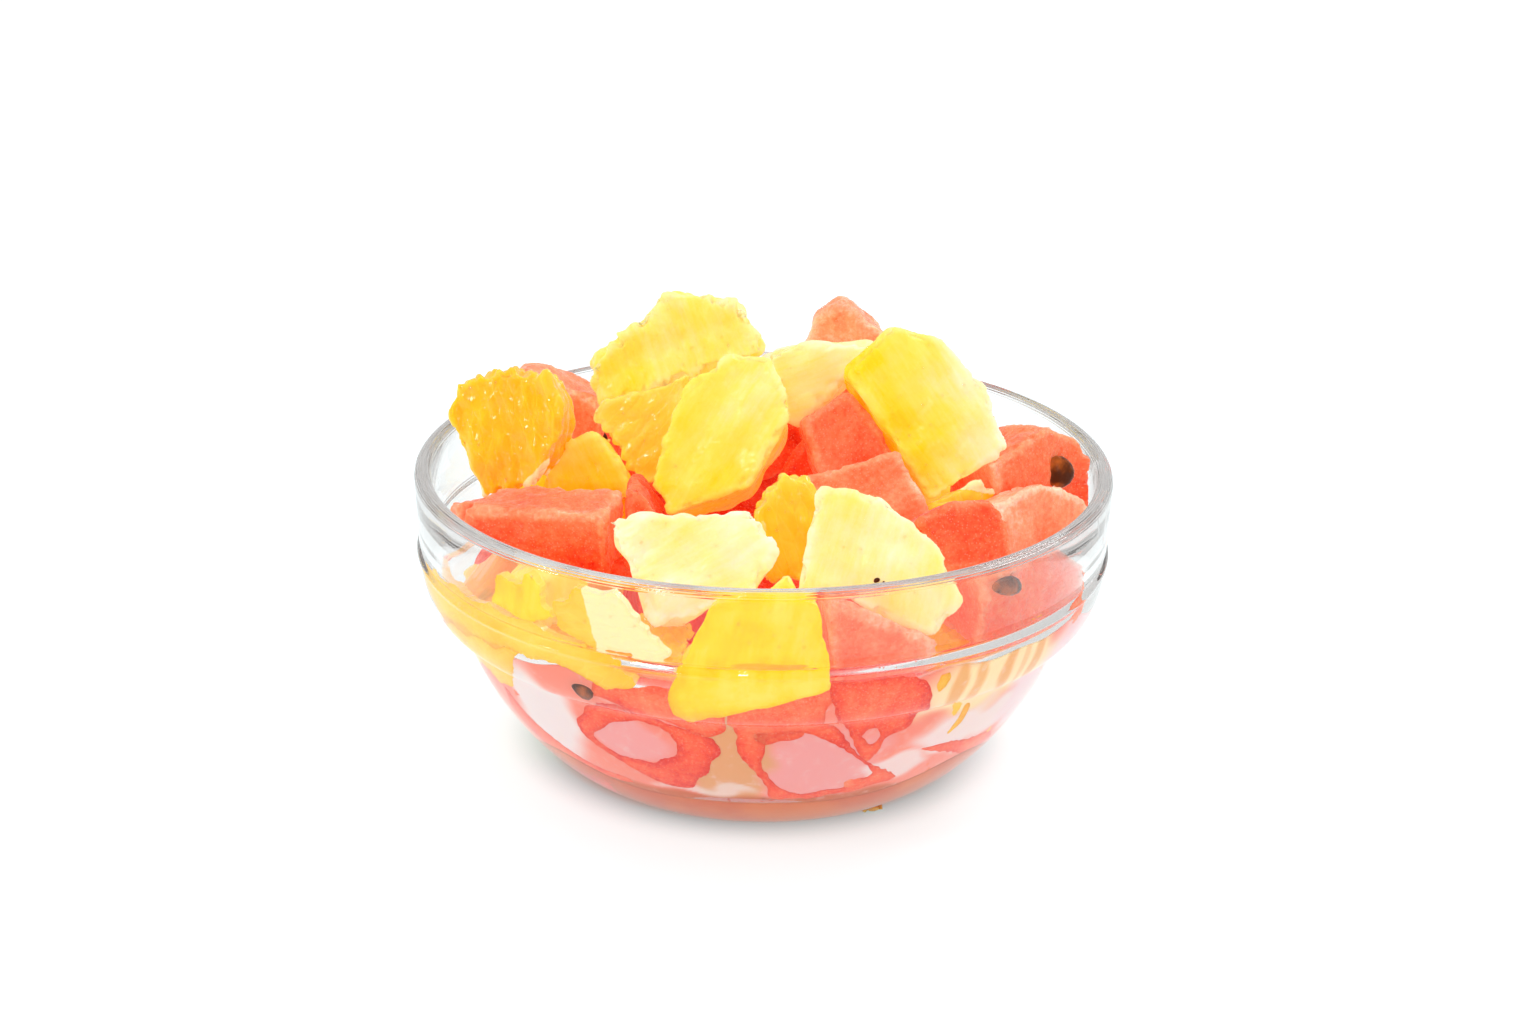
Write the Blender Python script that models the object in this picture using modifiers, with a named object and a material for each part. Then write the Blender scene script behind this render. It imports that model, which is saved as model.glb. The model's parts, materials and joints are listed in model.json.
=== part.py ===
"""Fruit salad in a stacking glass bowl: pineapple, watermelon and orange chunks over a little juice.

The bowl is one turned solid. Each chunk is a convex knife-cut solid of its own, laid in the bowl in
order, top pieces first, and every later chunk is trimmed flat where it would run into the glass or
into a chunk already laid, as soft fruit does. Metres, +Z up, origin on the table under the middle.
"""

import math
from dataclasses import dataclass

import bmesh
import bpy
import numpy as np
from mathutils import Euler, Matrix, Vector

MM = 0.001

# Bowl, millimetres
RIM_RADIUS = 85.0
BOWL_HEIGHT = 78.0
RIM_THICKNESS = 4.6
BAND_FOOT_Z = 57.0
BAND_FOOT_RADIUS = 84.3
SHOULDER_DROP = 14.6
FOOT_RADIUS = 39.6
WALL_TOP_Z = 52.0
WALL_TOP_RADIUS = 77.4
WALL_FULLNESS = 1.6
WALL_THICKNESS = 4.2
FLOOR_THICKNESS = 5.0
FOOT_ROUNDING = 1.6
BOWL_STEPS = 48

# Contents, millimetres
CLEARANCE = 0.4
JUICE_LEVEL = 9.0
CUT_EDGE = 0.7
WALL_FACET_DEG = 15.0

COLOURS = {
    "glass": (0.86, 0.90, 0.90, 0.05, 0.0),
    "pineapple": (0.98, 0.74, 0.17, 0.40, 0.0),
    "watermelon": (0.95, 0.20, 0.09, 0.35, 0.0),
    "orange": (0.97, 0.45, 0.02, 0.30, 0.0),
    "juice": (0.78, 0.30, 0.13, 0.10, 0.0),
}


def wall_point(share):
    """Outer lower wall at share 0 (top, under the shoulder) to 1 (foot), as (radius, height)."""
    turn = share * math.pi / 2
    power = 2 / WALL_FULLNESS
    radius = FOOT_RADIUS + (WALL_TOP_RADIUS - FOOT_RADIUS) * math.cos(turn) ** power
    return radius, WALL_TOP_Z * (1 - math.sin(turn) ** power)


def wall_curve(offset, low_z, high_z, steps):
    """The lower wall's curve moved inwards by offset, between two heights, top to bottom."""
    fine = 400
    found = []
    for i in range(1, fine):
        before = Vector(wall_point((i - 1) / fine))
        after = Vector(wall_point((i + 1) / fine))
        along = (after - before).normalized()
        inward = Vector((along.y, -along.x))
        point = Vector(wall_point(i / fine)) + inward * offset
        if low_z <= point.y <= high_z:
            found.append(point)
    picks = np.linspace(0, len(found) - 1, steps).round().astype(int)
    return [tuple(found[i]) for i in picks]


def arc(centre, radii, start_deg, end_deg, steps):
    """Points of an elliptical arc, ends included."""
    turns = np.radians(np.linspace(start_deg, end_deg, steps + 1))
    return [(centre[0] + radii[0] * math.cos(t), centre[1] + radii[1] * math.sin(t)) for t in turns]


def outer_profile():
    """Outside of the bowl from the top of the rim down to the middle of the foot."""
    bead = RIM_THICKNESS / 2
    shoulder_radius = 7.9
    shoulder_foot_z = BAND_FOOT_Z - SHOULDER_DROP
    points = arc((RIM_RADIUS - bead, BOWL_HEIGHT - bead), (bead, bead), 90, 0, 4)
    points += arc(
        (BAND_FOOT_RADIUS - shoulder_radius, BAND_FOOT_Z), (shoulder_radius, SHOULDER_DROP), 0, -84, 6
    )
    points += wall_curve(0.0, FOOT_ROUNDING, shoulder_foot_z - 1.2, 9)
    points += arc((FOOT_RADIUS - 1.0, FOOT_ROUNDING), (FOOT_ROUNDING, FOOT_ROUNDING), -30, -90, 2)
    return points + [(0.0, 0.0)]


def inner_profile():
    """Inside of the bowl from the middle of its floor up to the top of the rim."""
    bead = RIM_THICKNESS / 2
    band_radius = RIM_RADIUS - RIM_THICKNESS
    wall = wall_curve(WALL_THICKNESS, FLOOR_THICKNESS + 1.0, 38.0, 9)[::-1]
    floor_radius = wall[0][0] - 4.0
    points = [(0.0, FLOOR_THICKNESS), (floor_radius, FLOOR_THICKNESS)]
    points += wall
    low = Vector(wall[-1])
    high = Vector((band_radius - 0.4, BAND_FOOT_Z + 1.0))
    slope_low = (low - Vector(wall[-2])).normalized() * (high - low).length
    slope_high = Vector((0.0, 1.0)) * (high - low).length
    for i in range(1, 6):
        t = i / 5
        point = (
            low * (2 * t**3 - 3 * t**2 + 1)
            + slope_low * (t**3 - 2 * t**2 + t)
            + high * (3 * t**2 - 2 * t**3)
            + slope_high * (t**3 - t**2)
        )
        points.append(tuple(point))
    return points + arc((RIM_RADIUS - bead, BOWL_HEIGHT - bead), (-bead, bead), 0, 67.5, 3)


def inside_radius(height):
    """Radius of the bowl's inside at a height, from its profile."""
    profile = inner_profile()
    heights = [p[1] for p in profile[1:]]
    radii = [p[0] for p in profile[1:]]
    return float(np.interp(height, heights, radii))


# Face outlines, in a plane with x to the right and z up, centred on the origin


def block_outline(width, height, top=1.0):
    """Four-sided knife cut whose top edge is top times as wide as its foot."""
    half, rise = width / 2, height / 2
    return [(-half, -rise), (half, -rise), (half * top, rise), (-half * top, rise)]


def trimmed_outline(width, height, corners):
    """A rectangle with its corners cut off, from the upper left one clockwise.

    Each corner is (across, down) and, if it was rounded off in several strokes, how many.
    """
    points = []
    sides = ((-1, 1), (1, 1), (1, -1), (-1, -1))
    for (side, end), (across, down, *strokes) in zip(sides, corners):
        steps = strokes[0] if strokes else 1
        middle = (side * (width / 2 - across), end * (height / 2 - down))
        points += arc(middle, (side * across, end * down), 0, 90, steps)
    return points


def ring_outline(width, height, top=0.6, bulge=0.16, steps=5):
    """Pineapple cut from a ring: two straight sides, and the skin side curving out along the foot."""
    left, right, upper_right, upper_left = block_outline(width, height, top)
    skin = []
    for i in range(1, steps):
        t = i / steps
        skin.append((left[0] + (right[0] - left[0]) * t, left[1] - 4 * bulge * height * t * (1 - t)))
    return [left, *skin, right, upper_right, upper_left]


def segment_outline(width, height, steps=7):
    """Orange segment: a straight inner edge at the foot and the outer side as half an ellipse."""
    foot = -height * 0.42
    return arc((0.0, foot), (width / 2, height * 0.92), 0, 180, steps)


def slab(outline, depth, back, thin=1.0):
    """Corners of a face outline given a depth behind it.

    back scales the far face; thin narrows the depth towards the foot, as an orange segment has it.
    """
    heights = [z for _, z in outline]
    low, high = min(heights), max(heights)
    points = []
    for x, z in outline:
        share = thin + (1 - thin) * (z - low) / (high - low)
        points.append(Vector((x, 0.5 * depth * (1 - share), z)))
        points.append(Vector((x * back, 0.5 * depth * (1 + share), z * back)))
    return points


@dataclass(frozen=True)
class Piece:
    """A piece cut from a slab: sizes in millimetres, angles in degrees."""

    size: tuple
    back: float
    at: tuple
    tilt: tuple
    corners: tuple

    def points(self):
        width, height, depth = self.size
        outline = trimmed_outline(width, height, self.corners)
        return placed(slab(outline, depth, self.back), self.at, *self.tilt)


class Chunk:
    """A convex piece of fruit: its corners, and what it is cut from."""

    def __init__(self, name, fruit, points):
        self.name = name
        self.fruit = fruit
        self.solid = hull(points)

    def corners(self):
        return np.array([v.co for v in self.solid.verts])

    def normals(self):
        return np.array([f.normal for f in self.solid.faces])

    def edges(self):
        return np.array([e.verts[1].co - e.verts[0].co for e in self.solid.edges])

    def cut(self, point, normal):
        """Keeps what lies behind the plane."""
        bmesh.ops.bisect_plane(
            self.solid,
            geom=[*self.solid.verts, *self.solid.edges, *self.solid.faces],
            plane_co=point,
            plane_no=normal,
            clear_outer=True,
        )
        corners = [v.co.copy() for v in self.solid.verts]
        self.solid.free()
        self.solid = hull(corners)


def hull(points):
    """The convex solid round some points, its coplanar faces joined."""
    solid = bmesh.new()
    for point in points:
        solid.verts.new(point)
    bmesh.ops.remove_doubles(solid, verts=solid.verts, dist=CUT_EDGE * 0.6)
    made = bmesh.ops.convex_hull(solid, input=solid.verts)
    spare = [g for g in made["geom_interior"] + made["geom_unused"] if isinstance(g, bmesh.types.BMVert)]
    bmesh.ops.delete(solid, geom=list(set(spare)), context="VERTS")
    bmesh.ops.dissolve_limit(solid, angle_limit=math.radians(2), verts=solid.verts, edges=solid.edges)
    bmesh.ops.recalc_face_normals(solid, faces=solid.faces)
    solid.normal_update()
    return solid


def shallowest_way_out(fixed, moved):
    """The way in which the second chunk runs least deep into the first.

    Gives the direction, how deep it runs, and how far the first chunk reaches that way.
    """
    lengthways = np.cross(fixed.edges()[:, None], moved.edges()[None]).reshape(-1, 3)
    lengthways = lengthways[np.linalg.norm(lengthways, axis=1) > 1e-3]
    tries = np.vstack([fixed.normals(), -moved.normals(), lengthways, -lengthways])
    tries /= np.linalg.norm(tries, axis=1)[:, None]
    reach = (fixed.corners() @ tries.T).max(axis=0)
    start = (moved.corners() @ tries.T).min(axis=0)
    depth = reach + CLEARANCE - start
    best = int(depth.argmin())
    return Vector(tries[best]), float(depth[best]), float(reach[best])


def trim_to_chunk(fixed, moved):
    """Cuts the moved chunk flat where it runs into the fixed one."""
    near = np.linalg.norm(fixed.corners().mean(0) - moved.corners().mean(0))
    spans = sum(np.linalg.norm(c.corners() - c.corners().mean(0), axis=1).max() for c in (fixed, moved))
    if near > spans:
        return
    direction, depth, reach = shallowest_way_out(fixed, moved)
    if depth > 0:
        moved.cut(direction * (reach + CLEARANCE), -direction)


def wall_spans(lowest):
    """Heights between which the inside of the glass is taken as straight, for a chunk from lowest up.

    The wall steps out above its lower curve. A chunk that starts below the step follows the lower
    curve, and clears the step; one that starts above it follows the step's slope.
    """
    lower = [JUICE_LEVEL + CLEARANCE, 14, 21, 31, 41]
    step = [44, 50, 57]
    upper = [58, 74]
    parts = (lower, upper) if lowest < step[0] else (step, upper)
    return [span for part in parts for span in zip(part, part[1:])]


def trim_to_bowl(chunk):
    """Cuts the chunk to flat facets that lie along the inside of the glass."""
    facet = math.radians(WALL_FACET_DEG)
    chunk.cut(Vector((0, 0, JUICE_LEVEL + CLEARANCE)), Vector((0, 0, -1)))
    for low, high in wall_spans(chunk.corners()[:, 2].min()):
        inner = Vector((inside_radius(low), low))
        outer = Vector((inside_radius(high), high))
        along = (outer - inner).normalized()
        outward = Vector((along.y, -along.x))
        bulge = min(
            outward.dot(Vector((inside_radius(z), z)) - inner) for z in np.linspace(low, high, 9)
        )
        for k in range(round(2 * math.pi / facet)):
            turn = k * facet
            normal = Vector((math.cos(turn) * outward.x, math.sin(turn) * outward.x, outward.y))
            # Facets are chords of the round wall, so that the chunk's corners stay inside
            radius = (inner.x + outer.x) / 2 * math.cos(facet / 2)
            point = Vector((math.cos(turn) * radius, math.sin(turn) * radius, (low + high) / 2))
            point += normal * (bulge - CLEARANCE)
            if float((chunk.corners() @ np.array(normal)).max()) > normal.dot(point):
                chunk.cut(point, normal)


def placed(points, centre, pitch, yaw, roll=0.0):
    """Turned about the middle of the front face, then moved there.

    Roll leans the top to the right, a negative pitch leans it back, yaw turns the face to the right.
    """
    turn = Euler([math.radians(a) for a in (pitch, roll, yaw)], "YXZ").to_matrix()
    return [turn @ p + Vector(centre) for p in points]


# The pieces seen from the front, top ones first: width, height and depth, size of the far face, where
# the middle of the front face is, pitch and yaw, and what the knife took off each corner
SHOWN = {
    "pineapple_top_right": Piece(
        (38, 44, 23), 0.80, (39, -8, 93), (-25, 12), ((12, 10), (26, 32, 3), (20, 12), (18, 34))),
    "pineapple_top_long": Piece(
        (36, 42, 21), 0.80, (-10, -14, 89), (-35, -5), ((17, 33, 2), (8, 14), (30, 26, 2), (6, 9))),
    "pineapple_back_fan": Piece(
        (43, 28, 16), 0.85, (-22, 12, 102), (-15, 0), ((20, 19), (16, 14, 2), (38, 13), (4, 5))),
    "orange_left_chunk": Piece(
        (29, 31, 18), 0.85, (-63, -14, 88), (-15, -15), ((13, 12, 2), (4, 6), (18, 16, 2), (11, 19))),
    "pineapple_pale_left": Piece(
        (39, 27, 13), 0.85, (-16, -59, 74), (-38, 0), ((33, 3), (6, 10), (21, 17, 2), (11, 24))),
    "pineapple_pale_right": Piece(
        (38, 35, 13), 0.85, (26, -55, 74), (-35, 6), ((6, 25), (30, 28, 3), (8, 7), (30, 10))),
    "watermelon_left_bar": Piece(
        (35, 20, 17), 0.90, (-53, -37, 69), (4, -18), ((34, 3), (1, 1), (34, 3), (1, 1))),
    "pineapple_front_wedge": Piece(
        (36, 36, 17), 0.85, (-2, -72, 59), (-8, 0), ((17, 33, 2), (8, 29, 3), (32, 7), (4, 3))),
    "pineapple_back_middle": Piece(
        (27, 21, 18), 0.85, (14, 8, 94), (-12, 0), ((8, 3), (1, 1), (18, 8), (9, 3))),
    "orange_middle_slice": Piece(
        (29, 28, 15), 0.80, (-28, 0, 85), (-20, 0), ((24, 10, 2), (5, 4), (16, 23, 3), (13, 18))),
    "watermelon_back_peak": Piece(
        (21, 28, 17), 0.85, (20, 28, 95), (-5, 0), ((10, 12, 2), (11, 8), (1, 1), (1, 1))),
    "watermelon_middle_front": Piece(
        (31, 22, 20), 0.90, (25, -25, 78), (-38, 4), ((23, 6), (8, 18), (12, 4), (17, 14))),
    "watermelon_middle_high": Piece(
        (26, 23, 17), 0.90, (22, -9, 87), (-25, 8), ((12, 7), (14, 20), (21, 3), (5, 16))),
    "orange_front_middle": Piece(
        (17, 26, 15), 0.85, (6, -38, 75), (-20, 0), ((7, 10), (10, 7, 2), (4, 19), (3, 16))),
    "watermelon_right_red": Piece(
        (24, 16, 18), 0.90, (46, -42, 75), (-25, 16), ((11, 4), (4, 5), (1, 1), (5, 12))),
    "watermelon_right_seeded": Piece(
        (33, 23, 20), 0.90, (69, -1, 75), (-10, 40), ((19, 5), (14, 18, 2), (1, 1), (1, 1))),
    "watermelon_right_front": Piece(
        (30, 18, 19), 0.90, (67, -20, 70), (-15, 40), ((17, 2), (13, 7), (1, 1), (28, 2))),
    "orange_right_sliver": Piece(
        (25, 13, 15), 0.85, (49, -21, 75), (-30, 10), ((15, 7), (10, 2), (2, 10), (3, 6))),
    "watermelon_middle_dark": Piece(
        (25, 24, 15), 0.90, (6, -2, 76), (-20, 0), ((16, 22), (9, 2), (11, 8), (14, 2))),
    "watermelon_left_inner": Piece(
        (18, 20, 17), 0.90, (-29, -30, 70), (0, 0), ((1, 1), (1, 1), (1, 1), (1, 1))),
    "pineapple_small_left": Piece(
        (22, 18, 15), 0.90, (-42, -6, 77), (-20, 0), ((11, 16, 2), (11, 15, 2), (20, 2), (1, 1))),
    "watermelon_left_corner": Piece(
        (24, 29, 18), 0.90, (-70, -27, 72), (0, -60), ((22, 7), (2, 20), (22, 4), (1, 1))),
    "watermelon_back_left": Piece(
        (27, 22, 18), 0.90, (-54, 18, 82), (-5, 0), ((6, 6), (16, 8), (1, 1), (1, 1))),
    "orange_front_left": Piece(
        (39, 21, 17), 0.80, (-32, -65, 59), (4, -24), ((16, 6, 2), (5, 15), (33, 6), (1, 1))),
    "pineapple_left_bit": Piece(
        (19, 16, 12), 0.90, (-54, -53, 61), (0, -45), ((15, 4), (2, 10), (15, 3), (2, 10))),
    "orange_far_left": Piece(
        (42, 25, 16), 0.80, (-62, -45, 52), (10, -50), ((40, 12), (1, 1), (18, 20, 2), (22, 13))),
    "orange_wall_left": Piece(
        (44, 15, 15), 0.80, (-36, -60, 48), (18, -26), ((40, 8, 2), (1, 1), (21, 3), (5, 6))),
    "watermelon_wall_front": Piece(
        (26, 21, 17), 0.90, (27, -69, 60), (4, 14), ((1, 1), (22, 12), (4, 8), (3, 18))),
    "watermelon_front_right": Piece(
        (32, 28, 19), 0.90, (26, -62, 39), (22, 22), ((26, 2), (6, 15), (14, 12), (16, 22))),
    "watermelon_wall_right": Piece(
        (48, 18, 18), 0.90, (56, -50, 62), (6, 46), ((2, 15), (1, 1), (1, 1), (1, 1))),
    "orange_wall_right": Piece(
        (51, 34, 17), 0.80, (54, -44, 37), (25, 46), ((1, 1), (46, 22, 2), (13, 10), (34, 30, 2))),
    "watermelon_foot_left": Piece(
        (43, 48, 20), 0.90, (-22, -52, 26), (34, -20), ((40, 20, 2), (1, 1), (18, 44), (22, 22))),
    "watermelon_foot_middle": Piece(
        (29, 48, 20), 0.90, (8, -55, 27), (34, 6), ((21, 10), (8, 24), (1, 1), (11, 34))),
    "watermelon_wall_left": Piece(
        (32, 31, 18), 0.90, (-45, -49, 35), (28, -42), ((28, 7), (2, 12), (26, 18, 2), (2, 18))),
    "watermelon_foot_right": Piece(
        (42, 44, 20), 0.90, (33, -46, 17), (38, 34), ((24, 2), (16, 20), (8, 20), (30, 34, 2))),
}

# The layers behind and beside, which go round the bowl: height, distance from the middle, first and
# last angle from +X, and the fruits in turn
LAYERS = [
    (21.0, 56.0, -12, 212,
     ("watermelon", "pineapple", "watermelon", "orange", "watermelon", "pineapple", "watermelon")),
    (45.0, 72.0, -14, 192,
     ("orange", "watermelon", "pineapple", "watermelon", "orange", "watermelon", "pineapple", "orange")),
    (68.0, 73.0, 58, 148, ("pineapple", "orange", "watermelon", "pineapple")),
]
LAYER_CUTS = {
    "pineapple": (ring_outline(33, 30), 22, 0.85),
    "watermelon": (block_outline(34, 27, 0.85), 24, 0.9),
    "orange": (segment_outline(34, 26), 20, 0.8, 0.45),
}

# The hidden middle of the heap: fruit, middle, radius and half height of each rounded solid
CORES = {
    "hidden_heap_core": ("watermelon", (0, 0, 45), 44, 36),
    "hidden_heap_back": ("watermelon", (-8, 24, 74), 32, 16),
    "hidden_heap_left": ("orange", (-37, 2, 62), 24, 15),
}


def shown_chunks():
    """The pieces named one by one."""
    for name, piece in SHOWN.items():
        yield Chunk(name, name.split("_")[0], piece.points())


def layer_chunks():
    """The pieces laid round the back of the bowl, their tilts stepping by the golden angle."""
    golden = 137.5
    count = 0
    for layer, (height, distance, first, last, fruits) in enumerate(LAYERS):
        for i, fruit in enumerate(fruits):
            count += 1
            turn = math.radians(first + (last - first) * i / (len(fruits) - 1))
            centre = (distance * math.cos(turn), distance * math.sin(turn), height)
            roll = (count * golden) % 60 - 30
            pitch = (count * golden * 2) % 30 - 15
            points = placed(slab(*LAYER_CUTS[fruit]), centre, pitch, math.degrees(turn) + 90, roll)
            yield Chunk(f"{fruit}_layer{layer + 1}_{i + 1}", fruit, points)


def core_chunks():
    """The hidden middle of the heap, as rounded solids that fill what the pieces leave."""
    for name, (fruit, centre, radius, half_height) in CORES.items():
        points = []
        for tilt in np.radians((-90, -55, -20, 20, 55, 90)):
            for turn in np.radians(np.arange(0, 360, 40)):
                across = Vector((math.cos(turn), math.sin(turn), 0.0)) * radius * math.cos(tilt)
                points.append(Vector(centre) + across + Vector((0, 0, half_height * math.sin(tilt))))
        yield Chunk(name, fruit, points)


def lay_chunks():
    """Every chunk, trimmed to the bowl and to those laid before it."""
    laid = []
    for chunk in [*shown_chunks(), *layer_chunks(), *core_chunks()]:
        trim_to_bowl(chunk)
        for fixed in laid:
            trim_to_chunk(fixed, chunk)
        laid.append(chunk)
    return laid


def material(name):
    red, green, blue, roughness, metallic = COLOURS[name]
    made = bpy.data.materials.new(name)
    made.use_nodes = True
    shader = made.node_tree.nodes["Principled BSDF"]
    shader.inputs["Base Color"].default_value = (red, green, blue, 1)
    shader.inputs["Roughness"].default_value = roughness
    shader.inputs["Metallic"].default_value = metallic
    return made


def add_object(name, mesh, finish, collection):
    """An object whose mesh, so far in millimetres, is brought to metres."""
    mesh.transform(Matrix.Scale(MM, 4))
    mesh.materials.append(finish)
    made = bpy.data.objects.new(name, mesh)
    collection.objects.link(made)
    return made


def turned(name, profile, finish, collection):
    """A solid of revolution. Its outline starts at the top, goes down outside and comes back inside."""
    mesh = bpy.data.meshes.new(name)
    corners = [(r, 0.0, z) for r, z in profile]
    around = [(i, (i + 1) % len(corners)) for i in range(len(corners))]
    mesh.from_pydata(corners, [(a, b) for a, b in around if corners[a][0] + corners[b][0] > 0], [])
    made = add_object(name, mesh, finish, collection)
    screw = made.modifiers.new("turn", "SCREW")
    screw.steps = BOWL_STEPS
    screw.render_steps = BOWL_STEPS
    screw.use_merge_vertices = True
    screw.merge_threshold = 0.00001
    screw.use_smooth_shade = True
    return made


def add_chunk(chunk, finish, collection):
    mesh = bpy.data.meshes.new(chunk.name)
    chunk.solid.to_mesh(mesh)
    made = add_object(chunk.name, mesh, finish, collection)
    bevel = made.modifiers.new("softened cut edges", "BEVEL")
    bevel.width = CUT_EDGE * MM
    bevel.segments = 1
    bevel.limit_method = "ANGLE"
    bevel.angle_limit = math.radians(25)
    return made


def juice_profile():
    """Juice standing on the floor of the bowl, under the chunks."""
    floor = FLOOR_THICKNESS + CLEARANCE
    heights = np.linspace(JUICE_LEVEL, floor, 4)
    rim = [(inside_radius(z) - CLEARANCE, z) for z in heights]
    return [(0.0, JUICE_LEVEL), *rim, (0.0, floor)]


def main():
    for old in list(bpy.data.objects):
        bpy.data.objects.remove(old)
    collection = bpy.data.collections.new("fruit salad")
    bpy.context.scene.collection.children.link(collection)
    finishes = {name: material(name) for name in COLOURS}
    turned("bowl", outer_profile() + inner_profile(), finishes["glass"], collection)
    turned("juice", juice_profile(), finishes["juice"], collection)
    for chunk in lay_chunks():
        add_chunk(chunk, finishes[chunk.fruit], collection)


main()
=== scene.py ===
"""Looks of a fruit salad in a stacking glass bowl.

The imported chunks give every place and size. Each one is remade as wet cut fruit: its faces get the
fibres, grain or juice sacs of its kind, and where it leans on the bowl it is pressed flat on the glass.
The bowl is turned again in fine steps, and the juice, seeds, droplets and pulp are added.
"""

import json
import logging
import math
import random
from dataclasses import asdict, dataclass, field, replace
from enum import Enum

import bmesh
import bpy
import numpy as np
from mathutils import Matrix, Vector, geometry
from mathutils.bvhtree import BVHTree

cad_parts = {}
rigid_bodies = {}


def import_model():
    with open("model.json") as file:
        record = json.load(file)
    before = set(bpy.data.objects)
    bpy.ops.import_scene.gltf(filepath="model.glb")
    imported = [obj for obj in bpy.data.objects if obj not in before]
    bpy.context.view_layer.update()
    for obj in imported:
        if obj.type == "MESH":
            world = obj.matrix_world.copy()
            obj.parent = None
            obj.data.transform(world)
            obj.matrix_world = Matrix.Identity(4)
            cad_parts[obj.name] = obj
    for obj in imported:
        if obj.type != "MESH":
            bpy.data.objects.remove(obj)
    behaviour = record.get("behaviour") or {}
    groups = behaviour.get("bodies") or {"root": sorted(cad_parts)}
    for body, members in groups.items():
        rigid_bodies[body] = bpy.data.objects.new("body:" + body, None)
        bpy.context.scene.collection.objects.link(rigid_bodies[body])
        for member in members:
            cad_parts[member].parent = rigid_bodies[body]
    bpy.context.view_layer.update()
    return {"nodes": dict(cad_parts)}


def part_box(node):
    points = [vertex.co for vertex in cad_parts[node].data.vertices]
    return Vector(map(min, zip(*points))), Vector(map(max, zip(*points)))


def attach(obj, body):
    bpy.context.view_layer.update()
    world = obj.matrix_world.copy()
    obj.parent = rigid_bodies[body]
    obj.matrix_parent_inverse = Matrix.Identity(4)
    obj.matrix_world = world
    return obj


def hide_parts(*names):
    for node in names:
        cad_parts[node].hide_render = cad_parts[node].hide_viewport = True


LOG = logging.getLogger("fruit_salad")
MM = 0.001
PER_METRE = 1000.0
BODY = "root"
# How much fruit juice and wet flesh bend light
JUICE_INDEX = 1.34
FLOAT, VECTOR, COLOUR = "NodeSocketFloat", "NodeSocketVector", "NodeSocketColor"
GEOMETRY, MATERIAL, WHOLE = "NodeSocketGeometry", "NodeSocketMaterial", "NodeSocketInt"

Colour = tuple[float, float, float]
Profile = list[tuple[float, float]]
Sockets = bpy.types.NodeOutputs


class Fruit(Enum):
    """What a chunk is cut from. The value begins the names of its CAD nodes."""

    PINEAPPLE = "pineapple"
    WATERMELON = "watermelon"
    ORANGE = "orange"


def srgb(red: int, green: int, blue: int) -> Colour:
    """A colour given as three bytes, in the linear values that shaders use."""
    parts = [c / 255 for c in (red, green, blue)]
    return tuple(p / 12.92 if p <= 0.04045 else ((p + 0.055) / 1.055) ** 2.4 for p in parts)


def smooth_step(low: float, high: float, values: np.ndarray) -> np.ndarray:
    """0 below low, 1 above high, and an even curve between."""
    share = np.clip((values - low) / (high - low), 0, 1)
    return share * share * (3 - 2 * share)


def turned_from(degrees: object, angle: float) -> object:
    """How far angles lie from another, from -180 to 180 degrees."""
    return (degrees - angle + 180) % 360 - 180


def curve_between(start: object, leave: object, end: object, arrive: object, t: object) -> object:
    """Points at shares t of a cubic curve between two points, given the ways it leaves and arrives."""
    near = start * (2 * t**3 - 3 * t**2 + 1) + leave * (t**3 - 2 * t**2 + t)
    return near + (end * (3 * t**2 - 2 * t**3) + arrive * (t**3 - t**2))


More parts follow.
